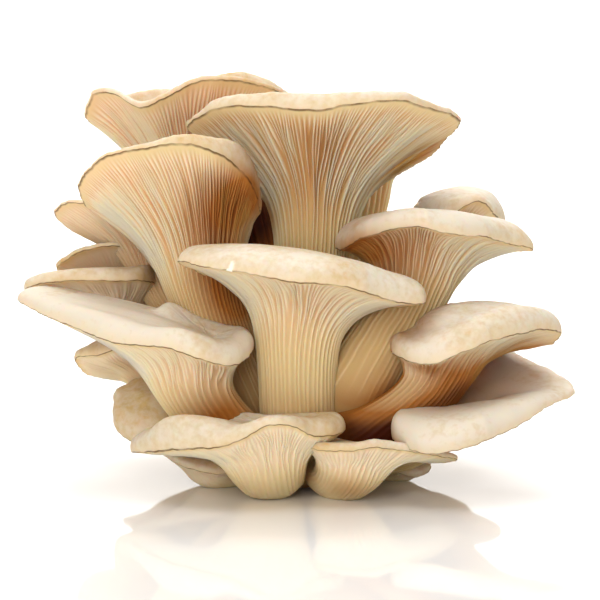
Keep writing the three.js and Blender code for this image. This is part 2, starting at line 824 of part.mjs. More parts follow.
function place(name, geometry, flesh) {
  const material = new THREE.MeshStandardMaterial({ ...flesh, metalness: 0 });
  const mesh = new THREE.Mesh(geometry, material);
  mesh.name = name;
  cluster.add(mesh);
}

// Everything below the floor.
function ground() {
  const box = new THREE.BoxGeometry(400, 400, 40).translate(0, 0, -20);
  box.deleteAttribute("normal");
  box.deleteAttribute("uv");
  return solidOf(mergeVertices(box));
}

// The base stands whole. Each body is cut clear of it and of the bodies before it, and flat where it
// rests on the floor.
const baseGeometry = geometryOf(baseTriangles());
place("cut_base", baseGeometry, CUT_FLESH);
const cutters = [ground(), solidOf(swollen(baseGeometry, GAP))];

for (const spec of BODIES) {
  const body = new FruitBody(spec);
  const whole = solidOf(geometryOf(body.triangles()));
  const clear = cutters.reduce((solid, cutter) => solid.subtract(cutter), whole);
  const kept = largest(largest(clear).simplify(TOLERANCE));
  place(spec.name, geometryFrom(kept), FLESH);
  cutters.push(solidOf(swollen(geometryOf(body.triangles(0)), GAP)));
}

// The origin is the middle of the foot of the whole cluster's box.
const box = new THREE.Box3().setFromObject(cluster);
const middle = box.getCenter(new THREE.Vector3());
cluster.position.set(-middle.x, -middle.y, -box.min.z);

export default cluster;
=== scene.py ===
"""A cluster of oyster mushrooms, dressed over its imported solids, on a pale studio floor.

Every mushroom is one closed skin. Its meridians start at the stem's foot, climb the stem, follow the
gills out to the cap's edge, turn over the rounded margin and run in to the middle of the cap. Lengths
are in millimetres in the frame in which the cluster was measured, and are turned into metres in the
part's own frame when a mesh is made.
"""

import logging
import math
from dataclasses import dataclass, field
from enum import Enum

import bpy
import numpy as np
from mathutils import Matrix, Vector


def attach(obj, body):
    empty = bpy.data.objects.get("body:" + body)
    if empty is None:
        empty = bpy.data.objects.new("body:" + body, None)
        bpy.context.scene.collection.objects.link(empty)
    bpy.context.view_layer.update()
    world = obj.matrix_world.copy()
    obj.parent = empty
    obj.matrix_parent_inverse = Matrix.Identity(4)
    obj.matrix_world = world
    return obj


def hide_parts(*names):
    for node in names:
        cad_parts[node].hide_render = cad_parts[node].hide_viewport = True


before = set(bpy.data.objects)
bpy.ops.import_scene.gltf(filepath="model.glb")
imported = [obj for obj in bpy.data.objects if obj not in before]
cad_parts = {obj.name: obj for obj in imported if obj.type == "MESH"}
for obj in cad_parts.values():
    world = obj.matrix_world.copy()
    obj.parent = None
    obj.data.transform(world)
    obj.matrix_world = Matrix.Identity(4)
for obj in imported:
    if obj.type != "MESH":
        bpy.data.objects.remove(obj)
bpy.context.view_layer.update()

log = logging.getLogger("oyster_mushrooms")

Array = np.ndarray
Point = tuple[float, float, float]
Socket = bpy.types.NodeSocket

MM = 0.001
ORIGIN_SHIFT = (0.39, -8.95, 0.0)  # from the frame of measurement to the part's own frame
BODY = "root"
SEED = 11

# How the skin of a mushroom is laid out, in shares of a meridian's span or of the cap
EVENNESS = 0.35
STEM_RISE = 0.36
CAP_REACH = 0.42
NECK_SHARE = 0.72
NECK_TURN = 0.6
THINNING = 0.4
MARGIN_HEIGHT_SHARE = 0.62
MARGIN_WIDTH_SHARE = 0.75
BLEND = 3.0
LIP = 0.9
PROFILE_STEPS = 72
TABLE_STEPS = 720
STEM_END = 0.985
EDGE_CROWDING = 1.25  # power that draws the underside's rings together towards the edge
NECK_EASE = 0.5
NECK_PULL = 0.8
NECK_PASSES = 30
TOP_PASSES = 24
TOP_SPREAD = 3  # columns to each side over which the top is evened out
EVEN_FROM = 0.5  # place on the top, 0 at the edge, from which it is evened out
EVEN_OVER = 0.6  # how far inwards that takes hold
LEAST_FLESH = 0.35  # share of the margin's height that evening out may take off the top

# Gills
DEPTH_ON_STEM = 0.2
DEPTH_AT_NECK = 0.8
DEEPEST_SHARE = 0.42  # most of the flesh's thickness that a valley takes
PROUD_SHARE = 0.3  # share of their height by which crests stand out of the smooth skin
BARE_MARGIN = 0.985  # share of the underside at which the gills have run out
MEANDER = 0.3  # sideways wander of a gill, in spaces between the stem's gills
MEANDER_KNOTS = 7  # places along a meridian at which a gill's wander is drawn
COLUMNS_PER_GILL = 4
FEWEST_GILLS = 12
STEM_SHARPNESS = 3.0  # power of the cosine that a rounded gill of the stem follows
BLADE_SHARPNESS = 2.75  # the same for a blade, for each gill squared that reaches the edge
BLADE_FROM = 0.8
STEM_BEGIN_SPREAD = 1.1  # how far apart the stem's gills begin, in shares of the stem
FORK_BEGIN_SPREAD = 0.22
FORK_RISE = 0.3
WEAKEST_GILL = 0.45  # most that a gill's height falls short by chance
STEM_FADE = 0.45  # most that it falls short on the stem

# Where the gills between two of the stem's own begin, in shares of the underside, by how many
# gills reach the edge for each one on the stem
FORKS = {
    1: (-1.5,),
    2: (-1.5, 0.22),
    3: (-1.5, 0.08, 0.4),
    4: (-1.5, 0.4, 0.08, 0.5),
}

# How the cluster's crowding, which sets the painted shade between the mushrooms, is measured: the grid's
# cell, the blur's reach, how far out of the skin it is read, and the densities of skin, in square
# millimetres for each cubic one, that count
SHELTER_CELL = 3.0
SHELTER_REACH = 7.0
SHELTER_OUT = 10.0
MOST_SKIN = 0.5
OPEN_SKIN = 0.035
DENSE_SKIN = 0.16

# Unevenness of grown flesh
EDGE_WAVE = 0.45
EDGE_LIFT = 0.6  # share of the sideways wave by which the edge goes up and down
WAVE_LENGTHS = (43.0, 21.0, 11.0, 5.5, 3.1)
WAVE_HEIGHTS = (0.5, 0.4, 0.3, 0.24, 0.2)
SKIN_LUMP = 0.35
LUMP_WAVES = ((0.21, 0.16, 0.11), (0.13, 0.24, 0.17), (0.1, 0.19, 0.27))
FINER_LUMPS = 2.3
NORMAL_SPREAD = 6  # vertices to each side over which a skin's outward directions are evened out


@dataclass(frozen=True)
class Fineness:
    """How finely one mushroom is drawn.

    Args:
        edge_spacing: distance between gills along the cap's edge.
        stem_spacing: distance between the gills that run down the stem.
        gill_depth: depth of the valleys between the gills under the cap.
        stem_rows: rings of vertices on the stem.
        gill_rows: rings between the neck and the edge.
        cap_rows: rings over the top.
    """

    edge_spacing: float
    stem_spacing: float
    gill_depth: float
    stem_rows: int
    gill_rows: int
    cap_rows: int


class Detail(Enum):
    """Where a mushroom stands, which says how closely it is seen."""

    FRONT = Fineness(1.35, 1.5, 2.2, 20, 36, 25)
    SIDE = Fineness(1.7, 1.9, 1.8, 14, 26, 20)
    BACK = Fineness(2.4, 2.6, 1.8, 12, 20, 16)


@dataclass(frozen=True)
class Swelling:
    """A smooth bulge of the flesh.

    Args:
        centre: its middle, near the skin.
        radius: how far it reaches.
        height: how far it stands out at the middle.
    """

    centre: Point
    radius: float
    height: float


@dataclass(frozen=True)
class PaintedShadeOrSplit:
    """A patch of painted shade, darker than its neighbours make the flesh, or a split, where paler flesh
    shows.

    Args:
        centre: its middle.
        radius: how far it reaches.
        amount: painted shade that it adds at the middle, below zero for the paler flesh of a split.
    """

    centre: Point
    radius: float
    amount: float


@dataclass(frozen=True)
class Growth:
    """The driving dimensions of one mushroom.

    Args:
        name: the piece's name, and its node's with the prefix mushroom_.
        stem: foot, bend and neck of the stem's line.
        foot_size: half widths of the stem at its foot, across X and Y.
        neck_size: half widths at the neck.
        thick: height of the rounded margin.
        round: width of the rounded margin.
        core: flesh over the neck.
        dome: how far the middle of the top is raised, or sunk where it is below zero.
        flare: 1 where the underside arrives level at the edge, 0 where it stays slanting.
        rim: the cap's edge, counter-clockwise seen from above.
        detail: where it stands.
        age: 0 for a young cream cap, 1 for an old tan one.
        fullness: shares of the margin's height at the rim's points, all 1 where there are none.
        gills: share of the gills' depth.
        crowd_shade: how much painted shade the neighbours' closeness lays on its flesh.
        swellings: bulges of its flesh.
        shades_and_splits: its patches of painted shade, and its splits of paler flesh.
    """

    name: str
    stem: tuple[Point, Point, Point]
    foot_size: tuple[float, float]
    neck_size: tuple[float, float]
    thick: float
    round: float
    core: float
    dome: float
    flare: float
    rim: tuple[Point, ...]
    detail: Detail = Detail.BACK
    age: float = 0.35
    fullness: tuple[float, ...] = ()
    gills: float = 1.0
    crowd_shade: float = 1.0
    swellings: tuple[Swelling, ...] = ()
    shades_and_splits: tuple[PaintedShadeOrSplit, ...] = ()


# Patches with amounts above zero are painted shade, laid into the cluster's shaded hollows and folds;
# those below zero are the paler flesh of a split.
GROWTHS: tuple[Growth, ...] = (
    Growth(
        name="front_centre",
        stem=((2, -12, 8), (0.5, -31, 22), (0, -31, 46)),
        foot_size=(12, 9), neck_size=(12.3, 10),
        thick=11.5, round=13, core=25, dome=4, flare=1,
        rim=(
            (39.5, -42, 62), (34, -30, 59.5), (17, -17, 60), (-4, -14, 63), (-22, -18, 67),
            (-34, -29, 72), (-36, -42, 75), (-29, -52, 74), (-20, -58, 73), (1, -63, 70), (15, -61, 68.3),
            (32, -50, 63),
        ),
        detail=Detail.FRONT, age=0.3, gills=0.7, crowd_shade=0.3,
        shades_and_splits=(
            # Paler flesh along a split in the cap's edge.
            PaintedShadeOrSplit((-20, -58, 73.2), 1.5, -1.3), PaintedShadeOrSplit((-19.6, -58.6, 74.8), 1.3, -1.3),
            PaintedShadeOrSplit((-19, -58.5, 76.3), 1.3, -1.3), PaintedShadeOrSplit((-18.2, -57.8, 78), 1.2, -1.3),
            PaintedShadeOrSplit((-17.4, -56.8, 79.6), 1.1, -1.3),
        ),
    ),
    Growth(
        name="top_centre",
        stem=((3, 6, 12), (4, 4, 44), (5.6, 3, 76)),
        foot_size=(12, 10), neck_size=(12.3, 10.5),
        thick=13, round=10, core=16, dome=-2, flare=0.5,
        rim=(
            (52.5, -2, 117), (49.5, 12, 111), (43, 24, 104), (30, 32, 97.5), (10, 33, 96), (-8, 27, 99),
            (-22, 16, 106), (-33, 3, 113), (-34, -10, 117), (-22, -26, 122), (8, -33, 121.5),
            (32, -28, 124), (46, -15, 120.5),
        ),
        detail=Detail.FRONT, crowd_shade=0.1,
        fullness=(0.5, 0.6, 1, 1, 1, 1, 0.8, 0.5, 0.3, 0.8, 1, 0.8, 0.55),
        shades_and_splits=(
            PaintedShadeOrSplit((40, 10, 105), 18, 1.1), PaintedShadeOrSplit((34, 10, 95), 14, 0.9), PaintedShadeOrSplit((8, -24, 108), 18, 0.35),
            PaintedShadeOrSplit((-12, 4, 86), 12, 1.2),
        ),
    ),
    Growth(
        name="left_upper",
        stem=((-6, -4, 10), (-17, -14, 34), (-27, -14, 58)),
        foot_size=(11, 9), neck_size=(13, 10),
        thick=9, round=9, core=15, dome=-2, flare=0.4,
        rim=(
            (-11.4, -14, 90), (-14, -2, 87), (-24, 7, 90), (-38, 12, 92), (-54, 9, 91), (-65.5, -3, 88.5),
            (-68.7, -18, 97), (-64.7, -28, 102.4), (-57.3, -34, 107.2), (-44.7, -39, 110.2),
            (-32.3, -41, 110.8), (-17.3, -32, 102.6),
        ),
        detail=Detail.FRONT, age=0.5, gills=0.85, crowd_shade=0.5,
        fullness=(1.3, 1, 1, 1, 0.8, 0.5, 0.4, 0.4, 0.5, 0.7, 1, 1.3),
        shades_and_splits=(PaintedShadeOrSplit((-17, -24, 94), 24, 1.3), PaintedShadeOrSplit((-18, -20, 66), 20, 1)),
    ),
    Growth(
        name="right_upper",
        stem=((9, -10, 16), (18, -30, 38), (36, -15, 60)),
        foot_size=(15, 12), neck_size=(11.5, 10),
        thick=8, round=10, core=24, dome=4, flare=1,
        rim=(
            (76, -10, 76.3), (70, -2, 75.4), (62, 6, 74.3), (50, 12, 76), (36, 12, 78), (22, 6, 78),
            (13, -6, 77), (14.6, -18, 77), (20.7, -27, 81), (37, -38, 85), (48, -36, 83), (59, -28, 81.6),
            (67, -20, 78.6),
        ),
        detail=Detail.FRONT, age=0.1, gills=0.85, crowd_shade=0.35,
        swellings=(Swelling((23, -38, 36), 22, 5),),
        shades_and_splits=(
            PaintedShadeOrSplit((20, -22, 76), 20, 0.9), PaintedShadeOrSplit((36, -32, 76), 18, 0.3), PaintedShadeOrSplit((24, -36, 32), 18, 0.6),
        ),
    ),
    Growth(
        name="left_middle",
        stem=((-6, -10, 8), (-17, -27, 14), (-31, -31, 32)),
        foot_size=(9, 8), neck_size=(13.5, 9),
        thick=9.5, round=14, core=15, dome=7, flare=0.6,
        rim=(
            (-13.5, -36, 46), (-15, -28, 47), (-24, -20, 48.5), (-36, -18, 50.5), (-54, -14, 53),
            (-72, -8, 58.5), (-84, -7, 62), (-88.8, -12, 60.5), (-79.8, -24, 57), (-65, -37, 53),
            (-55.4, -44, 49.7), (-40, -51, 49), (-28.7, -52, 45.7), (-18.6, -46, 43.5),
        ),
        detail=Detail.FRONT, age=0.15, gills=0.65, crowd_shade=0.1,
        swellings=(Swelling((-37.6, -22, 57), 8, 4.5),),
        shades_and_splits=(PaintedShadeOrSplit((-22, -36, 24), 20, 1.1),),
    ),
    Growth(
        name="right_middle",
        stem=((7, -14, 17), (24, -31, 19), (42, -28, 34)),
        foot_size=(14, 12), neck_size=(11.5, 10),
        thick=9, round=14, core=9, dome=17, flare=1,
        rim=(
            (84, -20, 50.7), (82.5, -12, 46.2), (75.6, -4, 45.2), (65.5, 3, 44.6), (52, 5, 45),
            (41, 1, 46), (34, -9, 46), (30.5, -22, 45.5), (29.5, -33, 45.5), (33, -43, 45),
            (41, -50, 44.2), (53.6, -51, 48.9), (66, -43, 52), (79, -28, 52.4),
        ),
        detail=Detail.FRONT, age=0.15, gills=0.55,
        fullness=(1.9, 2.1, 1.9, 1.5, 1.1, 1, 1, 1, 1, 1, 1, 1, 1.1, 1.5),
        shades_and_splits=(PaintedShadeOrSplit((27, -34, 18), 26, 1.2), PaintedShadeOrSplit((50, -36, 34), 22, 0.65)),
    ),
    Growth(
        name="right_lower",
        stem=((10, -3, 10), (32, -7, 9), (49, -19, 20)),
        foot_size=(9, 6), neck_size=(8.5, 7),
        thick=5, round=9, core=7, dome=-1, flare=0.7,
        rim=(
            (88, -22, 31.8), (83, -8, 35.6), (76, 2, 38.3), (66, 9, 43.4), (57, 6, 40), (50, -2, 34.5),
            (43, -13, 29.5), (38, -26, 25.5), (33, -35, 22.5), (30, -42, 20), (38.4, -54, 17.5),
            (51.5, -57, 19.5), (65.5, -49, 23.5), (76, -39, 28.7),
        ),
        detail=Detail.FRONT, age=0.1, crowd_shade=0.5,
        fullness=(1, 1, 1, 1, 1, 1, 1, 1.2, 1.5, 1.6, 1.9, 2.3, 1.7, 1.2),
        shades_and_splits=(PaintedShadeOrSplit((54, -14, 32), 28, 0.75),),
    ),
    Growth(
        name="bottom_left",
        stem=((-4, -12, 9), (-8, -33, 2), (-9, -43, 11)),
        foot_size=(8, 6), neck_size=(12.5, 9),
        thick=9.5, round=10, core=10, dome=3, flare=0.3,
        rim=(
            (15.2, -42, 23.5), (6, -37, 23.5), (-6, -35, 23), (-20, -33, 22), (-34, -31, 18),
            (-45, -30, 16), (-51, -34, 14.5), (-42, -48, 17), (-31.4, -56, 18.7), (-20, -61, 20.5),
            (-9.2, -62, 27), (-2, -61, 27), (6.8, -54, 22.4), (13, -48, 22),
        ),
        detail=Detail.FRONT, age=0.45, gills=0.45, crowd_shade=0.3,
        fullness=(0.85, 0.7, 0.6, 0.7, 1, 1.2, 1.2, 1.7, 1.3, 0.8, 0.5, 0.5, 0.85, 0.85),
    ),
    Growth(
        name="bottom_right",
        stem=((6, -12, 9), (14, -32, 2), (17, -41, 9.5)),
        foot_size=(7, 6), neck_size=(11, 9),
        thick=3.5, round=7, core=7, dome=1, flare=0.3,
        rim=(
            (50, -36, 13), (46, -28, 10.5), (38, -26, 11.5), (28, -26, 14), (16, -29, 16.5),
            (5, -34, 18.5), (2, -45, 18.8), (6.2, -52, 18.1), (16.4, -58, 19), (24, -56, 19.5),
            (32.7, -51, 17.5), (44, -44, 14.8),
        ),
        detail=Detail.FRONT, age=0.4, gills=0.5, crowd_shade=0.3,
        shades_and_splits=(PaintedShadeOrSplit((16, -48, 0), 14, 0.8),),
    ),
    Growth(
        name="left_upper_side",
        stem=((-8, 8, 16), (-26, 8, 32), (-44, 8, 62)),
        foot_size=(8, 8), neck_size=(8, 7.5),
        thick=4, round=8, core=11, dome=-1, flare=0.4,
        rim=(
            (-30, 17, 78), (-36, 26, 76), (-47, 31, 74), (-60, 31, 74.2), (-70, 25, 78.2), (-76, 18, 82),
            (-79.5, 10, 86.7), (-75.8, 4, 90.2), (-68.5, 0, 90.5), (-57, 0, 86), (-45, 4, 82.5),
            (-36, 9, 80),
        ),
        detail=Detail.SIDE, age=0.5, gills=0.6, crowd_shade=0.5,
    ),
    Growth(
        name="top_left",
        stem=((-4, 16, 12), (-18, 26, 46), (-32, 25, 82)),
        foot_size=(11, 9), neck_size=(11, 10),
        thick=4, round=6, core=14, dome=-2, flare=0.35,
        rim=(
            (-5, 10, 126.5), (-5, 24, 124), (-14, 37, 125), (-30, 43, 122), (-46, 41, 125),
            (-57.5, 37, 123), (-66, 28, 116.5), (-69, 15, 118), (-65.3, 8, 126), (-59, 3, 126),
            (-50, -2, 121.5), (-42, -5, 124.7), (-31, -6, 130), (-18, -4, 130),
        ),
        detail=Detail.FRONT, age=0.3, gills=0.75, crowd_shade=0.3,
        shades_and_splits=(PaintedShadeOrSplit((-15, 14, 84), 22, 2),),
    ),
    Growth(
        name="top_back",
        stem=((-2, 24, 14), (-4, 38, 50), (-18, 47, 86)),
        foot_size=(9, 8), neck_size=(10, 9),
        thick=8, round=8, core=12, dome=0, flare=0.4,
        rim=(
            (1, 62, 118), (-4, 72, 113), (-17, 79, 111), (-34, 77, 114), (-47, 66, 120), (-51, 54, 123.5),
            (-43, 48, 124.5), (-31, 46, 127), (-18, 47, 129), (-6, 51, 124.5),
        ),
        detail=Detail.SIDE, age=0.75,
        shades_and_splits=(PaintedShadeOrSplit((-12, 36, 84), 26, 2),),
    ),
    Growth(
        name="right_back_upper",
        stem=((8, 8, 14), (30, 18, 38), (44, 23, 62)),
        foot_size=(8, 8), neck_size=(7.5, 7),
        thick=7, round=8, core=22.5, dome=10, flare=0.5,
        rim=(
            (66, 16, 86), (69.5, 28, 83), (66, 41, 81), (54, 47, 81), (44, 42, 82), (40, 29, 82),
            (43, 15, 82), (50, 6, 86), (59, 5, 91),
        ),
        detail=Detail.SIDE, age=0.25, gills=0.6, crowd_shade=0.3,
    ),
    Growth(
        name="behind_top",
        stem=((5, 22, 14), (13, 40, 48), (22, 48, 84)),
        foot_size=(9, 8), neck_size=(8.5, 8),
        thick=5.5, round=8, core=11, dome=0, flare=0.4,
        rim=(
            (40, 54, 106), (40, 66, 102), (30, 76, 98), (16, 78, 98), (9, 70, 101), (6, 58, 106),
            (12, 49, 109), (24, 44, 110), (35, 46, 109),
        ),
        detail=Detail.SIDE, age=0.2, crowd_shade=0.3,
    ),
    Growth(
        name="bottom_left_back",
        stem=((-8, 0, 12), (-15, -8, 5.5), (-24, -11, 4.5)),
        foot_size=(7, 5), neck_size=(9, 6.5),
        thick=3.5, round=6, core=6, dome=1, flare=0.4,
        rim=(
            (-15, -9, 14), (-18, 0, 14), (-26, 3, 14), (-37, 0, 13.5), (-43.5, -6, 13), (-43, -14, 11.3),
            (-36, -20, 8.3), (-27, -24, 6.5), (-18, -22, 7),
        ),
        detail=Detail.SIDE, age=0.4, gills=0.25, crowd_shade=0.6,
    ),
    Growth(
        name="left_lower",
        stem=((-12, 10, 16), (-28, 14, 21), (-46, 9, 32)),
        foot_size=(7, 7), neck_size=(7.5, 7),
        thick=5.5, round=7, core=9, dome=2, flare=0.4,
        rim=(
            (-33, 1, 44), (-36, 9, 41), (-46, 13, 36), (-56, 13, 33.2), (-65, 10, 33), (-70.4, 5, 36.3),
            (-71.6, 0, 40.6), (-64, -8, 42.5), (-56, -12, 45), (-42, -9, 46),
        ),
        detail=Detail.SIDE, age=0.5, gills=0.35, crowd_shade=0.6,
    ),
    Growth(
        name="left_low",
        stem=((-12, -2, 12), (-28, -5, 12), (-45, -3, 18)),
        foot_size=(6, 6), neck_size=(7, 6),
        thick=8, round=8, core=8, dome=4, flare=0.5,
        rim=(
            (-33, 2, 28), (-41, 11, 29), (-52, 12, 28.5), (-58, 5, 27), (-58.8, -3, 23), (-57, -10, 17.5),
            (-51, -14.5, 14.5), (-41, -14, 16), (-34, -8, 23),
        ),
        detail=Detail.SIDE, age=0.7, gills=0.3, crowd_shade=0.3,
    ),
    Growth(
        name="left_middle_back",
        stem=((-10, 20, 16), (-32, 30, 28), (-57, 18, 48)),
        foot_size=(9, 8), neck_size=(10, 9),
        thick=8.5, round=8, core=10, dome=0, flare=0.5,
        rim=(
            (-45, 6, 64), (-45, 18, 62), (-54, 27, 60), (-66, 28, 60), (-79, 20, 60), (-88, 6, 61.5),
            (-86.2, -5, 64), (-74, -12, 66.6), (-60, -14, 66.8), (-49, -8, 66),
        ),
        detail=Detail.SIDE, age=0.5, gills=0.15, crowd_shade=0.3,
    ),
    Growth(
        name="left_back",
        stem=((-6, 22, 16), (-28, 44, 34), (-54, 34, 52)),
        foot_size=(8, 8), neck_size=(9, 8),
        thick=4.5, round=8, core=8, dome=0, flare=0.5,
        rim=(
            (-43, 16, 74), (-41, 30, 72), (-49, 42, 69), (-62, 47, 67), (-73, 40, 66), (-79, 28, 66),
            (-78, 15, 69.4), (-70, 7, 74.3), (-56, 5, 77),
        ),
        detail=Detail.SIDE, age=0.5, gills=0.15, crowd_shade=0.2,
    ),
    Growth(
        name="right_low_small",
        stem=((12, 4, 9), (22, 2, 3.5), (33, 2, 2)),
        foot_size=(4, 3), neck_size=(4, 3),
        thick=2.4, round=4, core=4, dome=0.5, flare=0.4,
        rim=(
            (43.5, 2, 4), (40, 8, 6.5), (33, 10, 8), (27, 6, 9), (25, 0, 8.5), (30, -6, 5.5),
            (38, -5, 2.5),
        ),
        detail=Detail.SIDE, gills=0.4, crowd_shade=0.4,
    ),
    Growth(
        name="right_back_middle",
        stem=((8, 14, 16), (32, 26, 22), (50, 32, 34)),
        foot_size=(8, 8), neck_size=(9, 8.5),
        thick=6, round=9, core=11, dome=2, flare=0.5,
        rim=(
            (74, 30, 45), (72, 44, 44), (60, 55, 44), (48, 56, 46), (39, 48, 48), (38, 36, 50),
            (44, 25, 51), (53, 17, 51), (65, 18, 48),
        ),
        swellings=(Swelling((52, 18, 56), 10, 2.5),),
    ),
    Growth(
        name="back_middle",
        stem=((4, 26, 16), (9, 50, 22), (10, 62, 44)),
        foot_size=(10, 8), neck_size=(12, 9.5),
        thick=6, round=9, core=12, dome=0, flare=0.5,
        rim=(
            (36, 62, 66), (32, 73, 64), (18, 79, 61), (0, 80, 61), (-15, 75, 63), (-23, 65, 66),
            (-17, 58, 68), (-4, 55, 69), (12, 55, 69), (27, 56, 68),
        ),
    ),
    Growth(
        name="back_left",
        stem=((-8, 22, 12), (-24, 42, 16), (-40, 52, 32)),
        foot_size=(9, 8), neck_size=(10, 9),
        thick=6, round=9, core=11, dome=1, flare=0.5,
        rim=(
            (-20, 50, 48), (-22, 64, 45), (-36, 74, 43), (-54, 72, 43), (-67, 61, 45), (-71, 48, 48),
            (-63, 40, 51), (-50, 37, 52), (-33, 40, 51),
        ),
    ),
    Growth(
        name="back_right_low",
        stem=((6, 22, 12), (20, 42, 10), (30, 48, 18)),
        foot_size=(9, 8), neck_size=(10, 9),
        thick=6, round=9, core=9, dome=1, flare=0.4,
        rim=(
            (58, 48, 28), (54, 61, 25), (42, 71, 24), (26, 73, 24), (14, 65, 26), (10, 52, 29),
            (18, 42, 32), (34, 37, 33), (50, 39, 31),
        ),
    ),
    Growth(
        name="back_left_low",
        stem=((-4, 24, 12), (-12, 44, 9), (-18, 50, 16)),
        foot_size=(9, 8), neck_size=(11, 9),
        thick=5.5, round=9, core=9, dome=1, flare=0.4,
        rim=(
            (4, 54, 24), (-2, 66, 21), (-16, 74, 20), (-32, 72, 20), (-44, 62, 22), (-48, 48, 25),
            (-38, 39, 28), (-22, 37, 29), (-6, 42, 28),
        ),
    ),
    Growth(
        name="right_low",
        stem=((12, 8, 11), (30, 12, 8), (47, 15, 11)),
        foot_size=(7, 6), neck_size=(7.5, 7),
        thick=4.5, round=7, core=7, dome=1, flare=0.5,
        rim=(
            (68, 15, 20.5), (66, 25, 18.5), (58, 31, 17), (47, 30, 18), (38, 24, 20), (36, 14, 22),
            (42, 5, 22.5), (54, 3, 22), (63, 7, 21),
        ),
    ),
    Growth(
        name="left_back_low",
        stem=((-10, 14, 11), (-26, 22, 10), (-38, 25, 14)),
        foot_size=(7, 6), neck_size=(7.5, 7),
        thick=4, round=7, core=6, dome=1, flare=0.5,
        rim=(
            (-26, 20, 25), (-28, 31, 24), (-37, 37, 22), (-48, 36, 20), (-56, 29, 18), (-58, 20, 17.5),
            (-52, 13, 20), (-42, 11, 23), (-33, 13, 25),
        ),
    ),
)


def smooth_step(t: Array) -> Array:
    """A ramp from 0 to 1 with level ends.

    Args:
        t: places, where 0 is the ramp's start and 1 its end.

    Returns:
        Three t squared less two t cubed, held between 0 and 1.
    """
    t = np.clip(t, 0.0, 1.0)
    return t * t * (3.0 - 2.0 * t)


def smooth_max(a: Array, b: Array) -> Array:
    """The larger of two heights, with the corner between them rounded.

    Args:
        a: first heights.
        b: second heights.

    Returns:
        Their mean plus half the length of their difference with the rounding's width.
    """
    return 0.5 * (a + b + np.hypot(a - b, BLEND))


def unit(v: Array) -> Array:
    """Vectors of length 1.

    Args:
        v: vectors along the last axis.

    Returns:
        The same directions with length 1.
    """
    return v / np.maximum(np.linalg.norm(v, axis=-1, keepdims=True), 1e-9)


def tipped(flat: Array, axis: Array) -> Array:
    """Vectors turned the shortest way that takes +Z to an axis.

    Args:
        flat: vectors to turn.
        axis: unit vectors that +Z goes to.

    Returns:
        v plus c cross v plus c cross (c cross v) over one plus the axis's own Z, where c is Z cross axis.
    """
    c = np.cross(np.array([0.0, 0.0, 1.0]), axis)
    once = np.cross(c, flat)
    return flat + once + np.cross(c, once) / (1.0 + axis[..., 2:3])


class Edge:
    """A cap's edge: a closed centripetal Catmull-Rom curve, read by its own length."""

    def __init__(self, rim: tuple[Point, ...], fullness: tuple[float, ...], seed: int) -> None:
        """Tabulates the curve.

        Args:
            rim: the points that it runs through.
            fullness: shares of the margin's height there.
            seed: start of the draw of its small waves.
        """
        self.points = np.array(rim, float)
        self.fullness = np.array(fullness or (1.0,) * len(rim))
        steps = np.linspace(0.0, 1.0, TABLE_STEPS * 3 + 1)
        table = self.curve(steps)
        lengths = np.linalg.norm(np.diff(table, axis=0), axis=1)
        self.lengths = np.concatenate([[0.0], np.cumsum(lengths)])
        self.steps = steps
        draw = np.random.default_rng(seed)
        self.wave_phases = draw.uniform(0.0, 2.0 * math.pi, 2 * len(WAVE_LENGTHS))

    @property
    def length(self) -> float:
        """The edge's length."""
        return float(self.lengths[-1])

    def curve(self, t: Array) -> Array:
        """The curve by its points: a cubic between each two, with tangents from uneven spacing.

        Args:
            t: places from 0 to 1, where every point takes an equal share.

        Returns:
            Points of the curve.
        """
        n = len(self.points)
        place = (t % 1.0) * n
        cell = np.floor(place).astype(int)
        x = (place - cell)[:, None]
        p = [self.points[(cell + k) % n] for k in (-1, 0, 1, 2)]
        d = [np.sqrt(np.linalg.norm(p[k + 1] - p[k], axis=1))[:, None] for k in (0, 1, 2)]
        into = (p[1] - p[0]) / d[0] - (p[2] - p[0]) / (d[0] + d[1]) + (p[2] - p[1]) / d[1]
        away = (p[2] - p[1]) / d[1] - (p[3] - p[1]) / (d[1] + d[2]) + (p[3] - p[2]) / d[2]
        into, away = into * d[1], away * d[1]
        square = -3.0 * p[1] + 3.0 * p[2] - 2.0 * into - away
        cube = 2.0 * p[1] - 2.0 * p[2] + into + away
        return p[1] + into * x + square * x**2 + cube * x**3

    def at(self, w: Array) -> Array:
        """Points at shares of the edge's length.

        Args:
            w: shares of the length; whole turns repeat.

        Returns:
            Points of the edge.
        """
        return self.curve(np.interp((w % 1.0) * self.length, self.lengths, self.steps))

    def full(self, w: Array) -> Array:
        """Shares of the margin's height, turned smoothly from each point of the rim to the next.

        Args:
            w: shares of the edge's length.

        Returns:
            Shares of the growth's own thickness.
        """
        place = np.interp((w % 1.0) * self.length, self.lengths, self.steps) * len(self.points)
        cell = np.floor(place).astype(int)
        low, high = (self.fullness[(cell + k) % len(self.points)] for k in (0, 1))
        return low + (high - low) * smooth_step(place - cell)

    def wave(self, w: Array, first: int) -> Array:
        """Small waves of the edge: five sines of falling height, 3 to 43 mm long.

        Args:
            w: shares of the length.
            first: which five of the drawn phases to use.

        Returns:
            Heights between about -1 and 1.
        """
        counts = np.round(self.length / np.array(WAVE_LENGTHS))
        heights = np.array(WAVE_HEIGHTS)
        phases = self.wave_phases[first : first + len(WAVE_LENGTHS)]
        turns = 2.0 * math.pi * counts[:, None] * w[None, :] + phases[:, None]
        return (heights[:, None] * np.sin(turns)).sum(axis=0)


@dataclass
class Ring:
    """One closed ring of a skin.

    Args:
        points: its vertices.
        course: how far along the meridian it is: -1 foot, 0 neck, 1 edge, 3 middle of the cap.
        relief: 1 on a gill's crest and 0 in the valley, for each vertex.
    """

    points: Array
    course: float
    relief: Array


